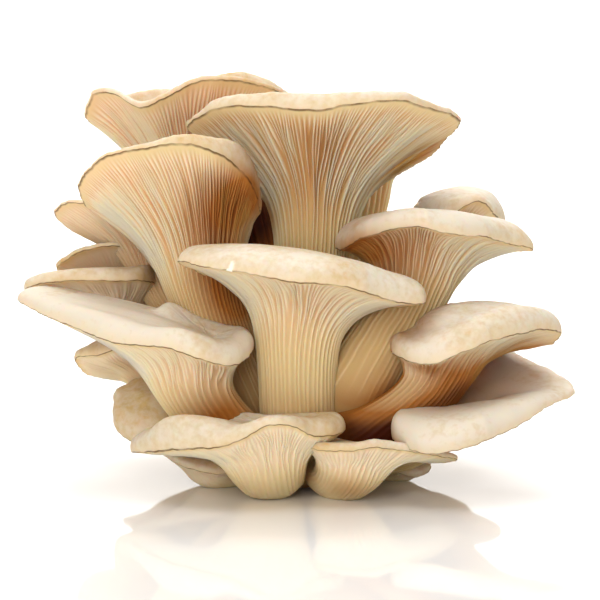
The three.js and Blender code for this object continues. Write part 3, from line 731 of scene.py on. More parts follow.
class Skin:
    """A closed mesh from rings, each with as many vertices as its neighbour or a whole share of them."""

    def __init__(self, rings: list[Ring]) -> None:
        """Joins the rings, with a fan at each end.

        Args:
            rings: from the first end to the last, counter-clockwise seen from the last.
        """
        first, last = rings[0], rings[-1]
        ends = [first.points.mean(axis=0)[None], last.points.mean(axis=0)[None]]
        self.points = np.concatenate([r.points for r in rings] + ends)
        self.course = np.concatenate(
            [np.full(len(r.points), r.course) for r in rings] + [[first.course], [last.course]]
        )
        self.relief = np.concatenate([r.relief for r in rings] + [[first.relief.mean()], [1.0]])
        starts = np.concatenate([[0], np.cumsum([len(r.points) for r in rings])])
        bands = [
            self.band(starts[i], len(rings[i].points), starts[i + 1], len(rings[i + 1].points))
            for i in range(len(rings) - 1)
        ]
        count = len(self.points)
        self.starts = starts
        self.triangles = np.concatenate(
            [
                self.fan(starts[0], len(first.points), count - 2)[:, ::-1],
                *bands,
                self.fan(starts[-2], len(last.points), count - 1),
            ]
        )
        self.painted_shade = np.zeros(count)

    @staticmethod
    def band(low: int, low_count: int, high: int, high_count: int) -> Array:
        """Triangles between two rings.

        Each vertex i of a ring faces vertex i times its share of the larger count. A triangle stands on
        every step of either ring.

        Args:
            low: first vertex of the lower ring.
            low_count: its vertices.
            high: first vertex of the upper ring.
            high_count: its vertices.

        Returns:
            Vertex numbers, shape (n, 3).
        """
        count = max(low_count, high_count)
        i = np.arange(count)
        a, b = (i * low_count // count) % low_count, ((i + 1) * low_count // count) % low_count
        c, d = (i * high_count // count) % high_count, ((i + 1) * high_count // count) % high_count
        lower = np.stack([low + a, low + b, high + d], axis=1)[a != b]
        upper = np.stack([low + a, high + d, high + c], axis=1)[c != d]
        return np.concatenate([lower, upper])

    @staticmethod
    def fan(start: int, count: int, centre: int) -> Array:
        """Triangles from a ring to one point.

        Args:
            start: first vertex of the ring.
            count: its vertices.
            centre: the point's vertex.

        Returns:
            Vertex numbers, shape (count, 3).
        """
        i = np.arange(count)
        return np.stack([start + i, start + (i + 1) % count, np.full(count, centre)], axis=1)

    def facings(self) -> Array:
        """Twice the area of each triangle along its normal.

        Returns:
            Vectors, shape (triangles, 3).
        """
        a, b, c = (self.points[self.triangles[:, k]] for k in range(3))
        return np.cross(b - a, c - a)

    def outward(self) -> Array:
        """Outward directions of the vertices, evened out round each ring over a few gills.

        Returns:
            Unit vectors, shape (vertices, 3).
        """
        facings = self.facings()
        corners = self.triangles.ravel()
        summed = [
            np.bincount(corners, np.repeat(facings[:, k], 3), minlength=len(self.points)) for k in range(3)
        ]
        normals = unit(np.stack(summed, axis=1))
        for start, end in zip(self.starts[:-1], self.starts[1:], strict=True):
            ring = normals[start:end]
            shifts = range(-NORMAL_SPREAD, NORMAL_SPREAD + 1)
            normals[start:end] = sum(np.roll(ring, k, axis=0) for k in shifts)
        return unit(normals)

    def piece(self, name: str) -> bpy.types.Object:
        """The skin as an object in the part's frame, with course, relief and painted shade as attributes.

        Args:
            name: the object's name.

        Returns:
            The object.
        """
        points = ((self.points + np.array(ORIGIN_SHIFT)) * MM).astype(np.float32)
        mesh = bpy.data.meshes.new(name)
        mesh.vertices.add(len(points))
        mesh.vertices.foreach_set("co", points.ravel())
        corners = self.triangles.ravel().astype(np.int32)
        mesh.loops.add(len(corners))
        mesh.loops.foreach_set("vertex_index", corners)
        mesh.polygons.add(len(self.triangles))
        mesh.polygons.foreach_set("loop_start", np.arange(0, len(corners), 3, dtype=np.int32))
        mesh.update(calc_edges=True)
        mesh.validate()
        mesh.polygons.foreach_set("use_smooth", np.ones(len(mesh.polygons), bool))
        for label, values in (("course", self.course), ("gill", self.relief), ("painted_shade", self.painted_shade)):
            attribute = mesh.attributes.new(label, "FLOAT", "POINT")
            attribute.data.foreach_set("value", values.astype(np.float32))
        piece = bpy.data.objects.new(name, mesh)
        bpy.context.scene.collection.objects.link(piece)
        return piece


class Mushroom:
    """One mushroom of the cluster: stem, gills and cap as a single skin."""

    def __init__(self, growth: Growth, seed: int) -> None:
        """Works out the cap's axis and the tables that the skin is read from.

        Args:
            growth: its driving dimensions.
            seed: start of its own random draw.
        """
        self.growth = growth
        self.edge = Edge(growth.rim, growth.fullness, seed)
        self.neck = np.array(growth.stem[2], float)
        grid = np.linspace(0.0, 1.0, TABLE_STEPS + 1)
        around = self.edge.at(grid)
        spokes = around - self.neck
        self.up = unit(np.cross(spokes[:-1], spokes[1:]).sum(axis=0))
        self.across = tipped(np.array([1.0, 0.0, 0.0]), self.up)
        self.away = tipped(np.array([0.0, 1.0, 0.0]), self.up)
        bearings = np.unwrap(np.arctan2(spokes @ self.away, spokes @ self.across))
        even = 2.0 * math.pi * grid
        self.grid = grid
        self.bearings = bearings
        self.azimuths = bearings + EVENNESS * (even + (bearings - even).mean() - bearings)
        self.middle = self.spoke(around[1:].mean(axis=0))
        reaches = np.linalg.norm(self.spoke(around), axis=1)
        self.mean_reach, self.most_reach = float(reaches.mean()), float(reaches.max())
        fineness = growth.detail.value
        round_stem = math.pi * sum(growth.neck_size)
        self.stem_gills = max(FEWEST_GILLS, round(round_stem / fineness.stem_spacing))
        at_edge = self.edge.length / fineness.edge_spacing / self.stem_gills
        self.forks = FORKS[int(np.clip(round(at_edge), 1, len(FORKS)))]
        self.columns = self.stem_gills * len(self.forks) * COLUMNS_PER_GILL
        self.draw = np.random.default_rng(seed)
        self.gill_draws = self.draw.uniform(0.0, 1.0, (3, len(self.forks), self.stem_gills))
        self.meander = self.draw.uniform(-1.0, 1.0, (MEANDER_KNOTS, self.stem_gills))

    def spoke(self, points: Array) -> Array:
        """What is left of offsets from the cap's axis when their height is taken off.

        Args:
            points: points to measure.

        Returns:
            Offsets square to the axis.
        """
        offset = points - self.neck
        return offset - (offset @ self.up)[..., None] * self.up

    def angle(self, table: Array, w: Array) -> Array:
        """Angles read from a table round the edge, over any number of turns."""
        return np.interp(w % 1.0, self.grid, table) + 2.0 * math.pi * np.floor(w)

    def edge_points(self, w: Array) -> Array:
        """The edge with its small waves, outwards and up and down.

        Args:
            w: shares of the edge's length.

        Returns:
            Points of the edge.
        """
        points = self.edge.at(w)
        out = unit(self.spoke(points))
        waves = EDGE_WAVE * (self.edge.wave(w, 0)[:, None] * out)
        lift = EDGE_LIFT * EDGE_WAVE * self.edge.wave(w, len(WAVE_LENGTHS))
        return points + waves + lift[:, None] * self.up

    def margin(self, w: Array) -> tuple[Array, Array]:
        """Height and width of the rounded margin.

        It is lower towards the farthest lobe, and small where the edge comes close to the axis.

        Args:
            w: shares of the edge's length.

        Returns:
            Heights and widths.
        """
        reach = np.linalg.norm(self.spoke(self.edge.at(w)), axis=1)
        far = (reach - self.mean_reach) / (self.most_reach - self.mean_reach)
        height = self.growth.thick * (1.0 - THINNING * smooth_step(far)) * self.edge.full(w)
        low = np.minimum(height, MARGIN_HEIGHT_SHARE * reach)
        return low, np.minimum(self.growth.round, MARGIN_WIDTH_SHARE * reach)

    def stem_axis(self, q: Array) -> Array:
        """The stem's direction: its line's tangent, turned near the neck towards the cap's axis.

        Args:
            q: places from foot (0) to neck (1).

        Returns:
            Unit vectors.
        """
        foot, bend, neck = np.array(self.growth.stem, float)
        q = q[..., None]
        tangent = unit((1.0 - q) * (bend - foot) + q * (neck - bend))
        turn = NECK_TURN * smooth_step(q)
        return unit(tangent * (1.0 - turn) + self.up * turn)

    def stem_points(self, w: Array, q: Array) -> Array:
        """The stem's skin: an ellipse carried along the stem's line, drawn in where the edge comes close.

        Args:
            w: shares of the edge's length, shape (n,) or (rows, n).
            q: places from foot (0) to neck (1), shape (rows,).

        Returns:
            Points, shape (rows, n, 3).
        """
        foot, bend, neck = np.array(self.growth.stem, float)
        w = np.broadcast_to(w, (len(q), np.shape(w)[-1]))
        angle = self.angle(self.azimuths, w)
        size = np.array(self.growth.foot_size) + np.outer(
            q, np.array(self.growth.neck_size) - np.array(self.growth.foot_size)
        )
        ring = np.stack(
            [size[:, 0:1] * np.cos(angle), size[:, 1:2] * np.sin(angle), np.zeros_like(angle)], axis=-1
        )
        reach = np.linalg.norm(self.spoke(self.edge.at(w.ravel())), axis=-1).reshape(w.shape)
        drawn = np.minimum(1.0, NECK_SHARE * reach / np.linalg.norm(ring, axis=-1))
        near = smooth_step(q)[:, None]
        ring = ring * (1.0 - near + near * drawn)[..., None]
        axis = np.broadcast_to(self.stem_axis(q)[:, None, :], ring.shape)
        t = q[:, None, None]
        line = (1.0 - t) ** 2 * foot + 2.0 * t * (1.0 - t) * bend + t**2 * neck
        return tipped(ring, axis) + line

    def under_points(self, w: Array, s: Array) -> Array:
        """The underside: a cubic that leaves along the stem and arrives turned towards the cap's plane.

        Args:
            w: shares of the edge's length, shape (n,) or (rows, n).
            s: places from neck (0) to edge (1), shape (rows,).

        Returns:
            Points, shape (rows, n, 3).
        """
        w = np.broadcast_to(w, (len(s), np.shape(w)[-1]))
        flat = w.ravel()
        start = self.stem_points(flat, np.ones(1))[0]
        end = self.edge_points(flat)
        chord = end - start
        span = np.linalg.norm(chord, axis=1)[:, None]
        level = unit(self.spoke(end))
        arrival = unit(unit(chord) * (1.0 - self.growth.flare) + level * self.growth.flare)
        rise = start + self.stem_axis(np.ones(1))[0] * STEM_RISE * span
        reach = end - arrival * CAP_REACH * span
        shape = (*w.shape, 3)
        start, rise, reach, end = (p.reshape(shape) for p in (start, rise, reach, end))
        t = s[:, None, None]
        near, far = 1.0 - t, t
        return near**3 * start + 3 * near**2 * far * rise + 3 * near * far**2 * reach + far**3 * end

    def top_points(self, w: Array, u: Array) -> Array:
        """The top: flesh of one thickness laid on the underside, rounded off at the margin, over a floor.

        The height at a distance from the axis is that of the highest disc of the flesh's radius that
        stands on the underside there. At the margin it comes down to the edge as a quarter turn.

        Args:
            w: shares of the edge's length, shape (n,).
            u: places from edge (0) by the margin's inner side (1) to the middle (2), shape (rows,).

        Returns:
            Points, shape (rows, n, 3).
        """
        offsets = self.under_points(w, np.linspace(0.0, 1.0, PROFILE_STEPS)) - self.neck
        heights = offsets @ self.up
        radii = np.linalg.norm(offsets - heights[..., None] * self.up, axis=-1)
        edge_height, edge_radius = heights[-1], radii[-1]
        high, wide = self.margin(w)
        turn = np.minimum(u, 1.0)[:, None] * math.pi / 2.0
        radius = (edge_radius - wide * (1.0 - np.cos(turn))) * (2.0 - np.maximum(u, 1.0))[:, None]
        share = radius / edge_radius
        angle = (1.0 - share) * self.angle(self.azimuths, w) + share * self.angle(self.bearings, w)
        out = np.cos(angle)[..., None] * self.across + np.sin(angle)[..., None] * self.away
        points = self.neck + out * radius[..., None]
        floor = self.floor_height(points)
        gap = np.abs(radii[:, None, :] - radius[None])
        disc = heights[:, None, :] + np.sqrt(np.maximum(high**2 - gap**2, 0.0))
        laid = np.where(gap < high, disc, -1e3).max(axis=0)
        full = smooth_max(np.maximum(laid, floor), floor)
        height = edge_height + (full - edge_height) * np.sin(turn)
        pull = smooth_step((u - EVEN_FROM) / EVEN_OVER)[:, None]
        for _ in range(TOP_PASSES):
            beside = 0.5 * (np.roll(height, TOP_SPREAD, axis=1) + np.roll(height, -TOP_SPREAD, axis=1))
            between = height.copy()
            between[1:-1] = 0.5 * (height[:-2] + height[2:])
            height += 0.5 * pull * (0.5 * (beside + between) - height)
        least = edge_height + (full - LEAST_FLESH * high - edge_height) * np.sin(turn)
        height = np.maximum(height, least)
        proud = np.where(u < 1.0, LIP * np.sin(math.pi * u), 0.0)[:, None]
        return points + height[..., None] * self.up + proud[..., None] * out

    def floor_height(self, points: Array) -> Array:
        """Height over the neck of the funnel's floor: a bowl or dome that falls with distance squared.

        Args:
            points: points to find it at.

        Returns:
            Heights along the cap's axis.
        """
        away = np.linalg.norm(self.spoke(points) - self.middle, axis=-1)
        radius = self.edge.length / (2.0 * math.pi)
        return self.growth.core + self.growth.dome * (1.0 - (away / radius) ** 2)

    def wander(self, columns: int, course: Array) -> Array:
        """Columns moved sideways, so that each gill meanders by itself.

        A gill's shift is drawn at a few knots along its meridian. Between two knots it turns smoothly
        from one to the other, and between two gills it is mixed in proportion.

        Args:
            columns: vertices in a ring.
            course: the rings' places, shape (rows,).

        Returns:
            Shares of the edge's length for each ring, shape (rows, columns).
        """
        w = np.arange(columns) / columns
        place = w * self.stem_gills
        low = np.floor(place).astype(int)
        shift = self.meander[:, low % self.stem_gills] * (1.0 - (place - low))
        shift += self.meander[:, (low + 1) % self.stem_gills] * (place - low)
        knots = np.linspace(-1.0, 1.0, MEANDER_KNOTS)
        near = smooth_step(1.0 - np.abs(course[:, None] - knots) / (knots[1] - knots[0]))
        return w + MEANDER / self.stem_gills * (near @ shift)

    def relief(self, columns: int, course: Array) -> Array:
        """Gills as shares of their full height.

        Each gill is a power of a cosine round the stem, sharper towards the edge, where it is a blade.
        The stem's own gills fade out at different heights of the stem. Each of the others begins at its
        own place on the cap. The highest gill counts.

        Args:
            columns: vertices in a ring.
            course: the rings' places, shape (rows,).

        Returns:
            Shares from 0 in a valley to 1 on a crest, shape (rows, columns).
        """
        s = course[:, None]
        blade = BLADE_SHARPNESS * len(self.forks) ** 2
        sharp = STEM_SHARPNESS + (blade - STEM_SHARPNESS) * smooth_step(s / BLADE_FROM)
        crest = np.zeros((len(course), columns))
        for fork, start in enumerate(self.forks):
            place = np.arange(columns) / columns * self.stem_gills - fork / len(self.forks)
            begin, strength, fade = self.gill_draws[:, fork, np.round(place).astype(int) % self.stem_gills]
            spread = STEM_BEGIN_SPREAD if fork == 0 else FORK_BEGIN_SPREAD
            there = smooth_step((s - start - spread * begin) / FORK_RISE)
            faded = STEM_FADE * fade * smooth_step((0.1 - s) / 0.6)
            weak = 1.0 - WEAKEST_GILL * strength - faded
            crest = np.maximum(crest, np.abs(np.cos(math.pi * place)) ** sharp * there * weak)
        return crest

    def gill_depth(self, course: Array) -> Array:
        """Depth of the valleys: shallow on the stem, deep under the cap, none at the bare margin.

        Args:
            course: the rings' places.

        Returns:
            Depths for those rings.
        """
        on_stem = DEPTH_ON_STEM + (DEPTH_AT_NECK - DEPTH_ON_STEM) * smooth_step(course + 1.0)
        deepest = min(self.growth.detail.value.gill_depth, DEEPEST_SHARE * self.growth.thick)
        on_cap = DEPTH_AT_NECK + (deepest - DEPTH_AT_NECK) * smooth_step(course / 0.35)
        depth = np.where(course < 0.0, on_stem, on_cap)
        return depth * smooth_step((BARE_MARGIN - course) / 0.22) * smooth_step((course + 1.02) / 0.2)

    def rings(self) -> list[Ring]:
        """All rings, from the foot over the edge to the cap's middle.

        Returns:
            The rings. Those of the stem have half as many vertices and those of the top a quarter.
        """
        fineness = self.growth.detail.value
        stem_course = -1.0 + np.linspace(0.0, STEM_END, fineness.stem_rows)
        gill_course = 1.0 - (1.0 - np.linspace(0.0, 1.0, fineness.gill_rows)) ** EDGE_CROWDING
        course = np.concatenate([stem_course, gill_course])
        columns = self.wander(self.columns, course)
        stem = self.stem_points(columns[: len(stem_course)], stem_course + 1.0)
        gills = self.under_points(columns[len(stem_course) :], gill_course)
        skin, relief = self.sunk(self.eased(np.concatenate([stem, gills]), course), course)
        rings = []
        for points, place, crests in zip(skin, course, relief, strict=True):
            step = 2 if place < 0.0 else 1
            rings.append(Ring(points[::step], place, crests[::step]))
        cap_u = np.concatenate(
            [
                np.linspace(0.06, 1.0, fineness.cap_rows * 3 // 5),
                np.linspace(1.06, 1.95, fineness.cap_rows * 2 // 5),
            ]
        )
        top = self.top_points(self.wander(self.columns // 4, np.ones(1))[0], cap_u)
        return rings + [Ring(p, 1.0 + u, np.ones(len(p))) for p, u in zip(top, cap_u, strict=True)]

    @staticmethod
    def eased(points: Array, course: Array) -> Array:
        """A skin whose bend at the neck is eased, by moving each ring towards its two neighbours' middle.

        Args:
            points: the skin, shape (rows, n, 3).
            course: the rings' places.

        Returns:
            The eased skin.
        """
        near = NECK_PULL * smooth_step(1.0 - np.abs(course[1:-1, None, None]) / NECK_EASE)
        for _ in range(NECK_PASSES):
            points[1:-1] += near * (0.5 * (points[:-2] + points[2:]) - points[1:-1])
        return points

    def sunk(self, points: Array, course: Array) -> tuple[Array, Array]:
        """A skin with the valleys between its gills sunk along its normals.

        Args:
            points: the smooth skin, shape (rows, n, 3).
            course: the rings' places.

        Returns:
            The sunk skin and its relief.
        """
        along = np.roll(points, -1, axis=1) - np.roll(points, 1, axis=1)
        climb = np.gradient(points, axis=0)
        normals = unit(np.cross(along, climb))
        relief = 1.0 - self.growth.gills * (1.0 - self.relief(points.shape[1], course))
        depth = self.gill_depth(course)[:, None] * (1.0 - PROUD_SHARE - relief)
        return points - normals * depth[..., None], relief

    def swell(self, points: Array, centre: Array) -> Array:
        """Points moved by the swellings and by slow uneven growth.

        A swelling moves a point away from the cluster's inside by its height times a level-ended ramp
        of the distance from its middle. Slow growth adds a sum of sines of the place.

        Args:
            points: the skin's vertices, shape (n, 3).
            centre: a point inside the mushroom.

        Returns:
            The moved vertices.
        """
        shift = np.zeros_like(points)
        for swelling in self.growth.swellings:
            middle = np.array(swelling.centre)
            near = smooth_step(1.0 - np.linalg.norm(points - middle, axis=1) / swelling.radius)
            shift += near[:, None] * swelling.height * unit(middle - centre)
        phases = self.draw.uniform(0.0, 2.0 * math.pi, (3, 3))
        waves = np.array(LUMP_WAVES).T
        lump = np.sin(points @ waves + phases[0])
        lump += 0.5 * np.sin(points @ (FINER_LUMPS * waves) + phases[1])
        return points + shift + SKIN_LUMP * 0.5 * lump

    def skin(self) -> Skin:
        """The mushroom's closed skin, swollen where it should be and flat where it meets the floor.

        Returns:
            The skin.
        """
        skin = Skin(self.rings())
        foot = np.array(self.growth.stem[0], float)
        skin.points = self.swell(skin.points, 0.5 * (foot + self.neck))
        skin.points[:, 2] = np.maximum(skin.points[:, 2], 0.0)
        return skin

    def shade(self, skin: Skin, painted_shade: Array) -> Array:
        """How much painted shade its vertices get, from the neighbours' closeness and its patches, or how
        pale its splits are.

        Args:
            skin: its skin.
            painted_shade: how closely flesh stands round each vertex, which sets its painted shade.

        Returns:
            Painted shade up to 1, more in the deepest crevices, below zero where a split is paler.
        """
        shade = self.growth.crowd_shade * painted_shade
        for shade_or_split in self.growth.shades_and_splits:
            away = np.linalg.norm(skin.points - np.array(shade_or_split.centre), axis=1)
            shade = shade + shade_or_split.amount * smooth_step(1.0 - away / shade_or_split.radius)
        return np.clip(shade, -1.0, 2.0)

    def build(self, skin: Skin) -> bpy.types.Object:
        """The mushroom as an object.

        Args:
            skin: its skin, with its painted shade worked out.

        Returns:
            The object, whose vertices hold the mushroom's age as well.
        """
        piece = skin.piece(self.growth.name)
        age = piece.data.attributes.new("age", "FLOAT", "POINT")
        age.data.foreach_set("value", np.full(len(skin.points), self.growth.age, np.float32))
        return piece


@dataclass
class CutBase:
    """The lumpy butt that every stem springs from, flat where it was cut off its block.

    Args:
        centre: its middle on the floor.
        radius: half its width at the belly.
        height: its height.
        foot_radius: half the width of the cut.
        bulge: share by which it swells where stems spring from it.
        columns: vertices round it.
        rows: rings up it.
    """

    centre: tuple[float, float] = (0.0, 12.0)
    radius: float = 27.0
    height: float = 33.0
    foot_radius: float = 22.0
    bulge: float = 0.07
    columns: int = 144
    rows: int = 48

    def skin(self) -> Skin:
        """The butt's closed skin.

        The distance from the middle is that of a belly on a narrower foot, times a dome that closes
        upwards, times slow swells round it and small fibres. The cut is drawn in by its own rings.

        Returns:
            The skin.
        """
        t = np.linspace(0.0, 1.0, self.rows)[:, None]
        angle = 2.0 * math.pi * np.arange(self.columns)[None, :] / self.columns
        belly = self.foot_radius + (self.radius - self.foot_radius) * np.sin(
            math.pi * np.minimum(1.0, 1.25 * t)
        )
        dome = np.sqrt(np.maximum(0.04, 1.0 - t**4))
        swell = 1.0 + self.bulge * t * (np.sin(5.0 * angle + 0.6) + np.sin(3.0 * angle + 2.0))
        fibre = 0.25 * np.sin(31.0 * angle + 3.0 * t) + 0.15 * np.sin(53.0 * angle - 5.0 * t)
        reach = belly * dome * swell + fibre
        side = np.stack(
            [
                self.centre[0] + 1.1 * reach * np.cos(angle),
                self.centre[1] + reach * np.sin(angle),
                np.broadcast_to(self.height * t, reach.shape),
            ],
            axis=-1,
        )
        middle = np.array([*self.centre, 0.0])
        cut = [middle + (side[0] - middle) * share for share in (0.25, 0.5, 0.75, 0.93)]
        rings = [Ring(p, -2.0, np.ones(self.columns)) for p in cut]
        rings += [Ring(p, -1.5, np.ones(self.columns)) for p in side]
        return Skin(rings)


class CrowdShadeGrid:
    """How closely flesh stands round each place of the cluster, which sets the painted shade there.

    A coarse grid holds the area of skin in each cell, blurred as a bell curve. A vertex reads it at a
    point a little way out of its own skin, so that only what faces it counts.
    """

    def __init__(self, skins: list[Skin]) -> None:
        """Fills and blurs the grid.

        Args:
            skins: every skin of the cluster.
        """
        centres = np.concatenate([skin.points[skin.triangles].mean(axis=1) for skin in skins])
        areas = np.concatenate([0.5 * np.linalg.norm(skin.facings(), axis=1) for skin in skins])
        self.low = centres.min(axis=0) - 3.0 * SHELTER_REACH
        cells = np.floor((centres - self.low) / SHELTER_CELL).astype(int)
        shape = cells.max(axis=0) + int(3.0 * SHELTER_REACH / SHELTER_CELL)
        flat = np.ravel_multi_index(cells.T, shape)
        density = np.bincount(flat, areas, minlength=int(np.prod(shape))).reshape(shape)
        density = np.minimum(density / SHELTER_CELL**3, MOST_SKIN)
        offsets = np.arange(-3.0 * SHELTER_REACH, 3.0 * SHELTER_REACH + 1e-6, SHELTER_CELL)
        bell = np.exp(-0.5 * (offsets / SHELTER_REACH) ** 2)
        bell /= bell.sum()
        for axis in range(3):
            density = np.apply_along_axis(np.convolve, axis, density, bell, mode="same")
        self.density = density

    def at(self, skin: Skin) -> Array:
        """Crowding of a skin's vertices, which sets their painted shade, mixed from the eight cells round
        each point.

        Args:
            skin: the skin.

        Returns:
            Shares from 0 in the open to 1 deep between neighbours.
        """
        place = (skin.points + SHELTER_OUT * skin.outward() - self.low) / SHELTER_CELL - 0.5
        place = np.clip(place, 0.0, np.array(self.density.shape) - 1.001)
        low = np.floor(place).astype(int)
        share = place - low
        density = np.zeros(len(place))
        for corner in np.ndindex(2, 2, 2):
            weight = np.prod(np.where(corner, share, 1.0 - share), axis=1)
            density += weight * self.density[tuple((low + np.array(corner)).T)]
        return smooth_step((density - OPEN_SKIN) / (DENSE_SKIN - OPEN_SKIN))


def linear(hex_colour: str) -> tuple[float, float, float, float]:
    """An sRGB hex colour as linear light.

    Args:
        hex_colour: six hex digits after a number sign.

    Returns:
        Red, green, blue and a full alpha.
    """
    channels = [int(hex_colour[i : i + 2], 16) / 255.0 for i in (1, 3, 5)]
    light = [c / 12.92 if c <= 0.04045 else ((c + 0.055) / 1.055) ** 2.4 for c in channels]
    return (light[0], light[1], light[2], 1.0)


def add_node(
    tree: bpy.types.NodeTree,
    kind: str,
    settings: dict[str, object] | None = None,
    inputs: dict[str | int, object] | None = None,
) -> bpy.types.Node:
    """Adds a node with its settings, values and links.

    Args:
        tree: the tree that it goes into.
        kind: its type.
        settings: its properties.
        inputs: values, or sockets to link, by input name or number.

    Returns:
        The node.
    """
    node = tree.nodes.new(kind)
    for name, value in (settings or {}).items():
        setattr(node, name, value)
    for key, value in (inputs or {}).items():
        if isinstance(value, Socket):
            tree.links.new(value, node.inputs[key])
        else:
            node.inputs[key].default_value = value
    return node


def per_mm(size: float) -> float:
    """Scale of a pattern whose features are so many millimetres wide."""
    return 1.0 / (size * MM)


class Palette:
    """Colour and number helpers on one node tree."""

    def __init__(self, tree: bpy.types.NodeTree) -> None:
        """Keeps the tree.

        Args:
            tree: the tree that every node goes into.
        """
        self.tree = tree

    def attribute(self, name: str) -> Socket:
        """A number that each vertex holds."""
        return add_node(self.tree, "ShaderNodeAttribute", {"attribute_name": name}).outputs["Fac"]

    def ramp(
        self, value: Socket, start: float, end: float, to: tuple[float, float] = (0.0, 1.0)
    ) -> Socket:
        """A smooth ramp of a value from 0 at its start to 1 at its end, or between two other numbers.

        Args:
            value: what is read.
            start: where the ramp starts.
            end: where it ends.
            to: results at the start and at the end.

        Returns:
            The ramp's socket.
        """
        node = add_node(
            self.tree,
            "ShaderNodeMapRange",
            {"interpolation_type": "SMOOTHSTEP"},
            {"Value": value, "From Min": start, "From Max": end, "To Min": to[0], "To Max": to[1]},
        )
        return node.outputs["Result"]

    def noise(self, size: float, detail: float = 3.0) -> Socket:
        """Cloudy noise in the object's own coordinates.

        Args:
            size: width of its features, in millimetres.
            detail: how many finer layers it has.

        Returns:
            The noise's socket.
        """
        place = add_node(self.tree, "ShaderNodeTexCoord").outputs["Object"]
        node = add_node(
            self.tree,
            "ShaderNodeTexNoise",
            {},
            {"Vector": place, "Scale": per_mm(size), "Detail": detail, "Roughness": 0.55},
        )
        return node.outputs["Fac"]

    def math(self, operation: str, a: object, b: object, clamp: bool = False) -> Socket:
        """One sum of two numbers or sockets.

        Args:
            operation: its kind.
            a: first number or socket.
            b: second number or socket.
            clamp: whether the result is held between 0 and 1.

        Returns:
            The result's socket.
        """
        node = add_node(
            self.tree, "ShaderNodeMath", {"operation": operation, "use_clamp": clamp}, {0: a, 1: b}
        )
        return node.outputs["Value"]

    def mix(self, share: object, a: object, b: object, blend: str = "MIX") -> Socket:
        """Colour a turned towards colour b by a share.

        Args:
            share: number or socket from 0 to 1.
            a: hex colour or socket.
            b: hex colour or socket.
            blend: how b is laid over a.

        Returns:
            The mixed colour's socket.
        """
        a, b = (linear(c) if isinstance(c, str) else c for c in (a, b))
        node = add_node(
            self.tree, "ShaderNodeMix", {"data_type": "RGBA", "blend_type": blend}, {0: share, 6: a, 7: b}
        )
        return node.outputs[2]


@dataclass(frozen=True)
class Flesh:
    """What the flesh of stems, caps and butt shares: light goes a little way in and comes back warm.

    Args:
        name: the material's name.
        roughness: of its skin.
        ior: its refractive index.
        specular: how strongly its skin reflects.
        glow: share of the light that goes in.
        glow_radius: how far red, green and blue go, as shares of the depth.
        glow_depth: that depth, in millimetres.
        bump: height of the skin's own relief, in millimetres.
        bump_strength: share of that relief that shows.
    """

    name: str
    roughness: float
    ior: float
    specular: float
    glow: float
    glow_radius: Point
    glow_depth: float
    bump: float
    bump_strength: float

    def colour(self, palette: Palette) -> Socket:
        """The skin's colour, which each kind of flesh gives."""
        raise NotImplementedError

    def grain(self, palette: Palette) -> Socket:
        """The height of the skin's own relief, which each kind of flesh gives."""
        raise NotImplementedError

    def build(self) -> bpy.types.Material:
        """Builds the material's nodes.

        Returns:
            The material.
        """
        material = bpy.data.materials.new(self.name)
        material.use_nodes = True
        tree = material.node_tree
        shader = tree.nodes["Principled BSDF"]
        palette = Palette(tree)
        tree.links.new(self.colour(palette), shader.inputs["Base Color"])
        for socket, value in (
            ("Roughness", self.roughness),
            ("IOR", self.ior),
            ("Specular IOR Level", self.specular),
            ("Subsurface Weight", self.glow),
            ("Subsurface Radius", self.glow_radius),
            ("Subsurface Scale", self.glow_depth * MM),
        ):
            shader.inputs[socket].default_value = value
        relief = {
            "Strength": self.bump_strength,
            "Distance": self.bump * MM,
            "Height": self.grain(palette),
        }
        bump = add_node(tree, "ShaderNodeBump", {}, relief)
        tree.links.new(bump.outputs["Normal"], shader.inputs["Normal"])
        return material


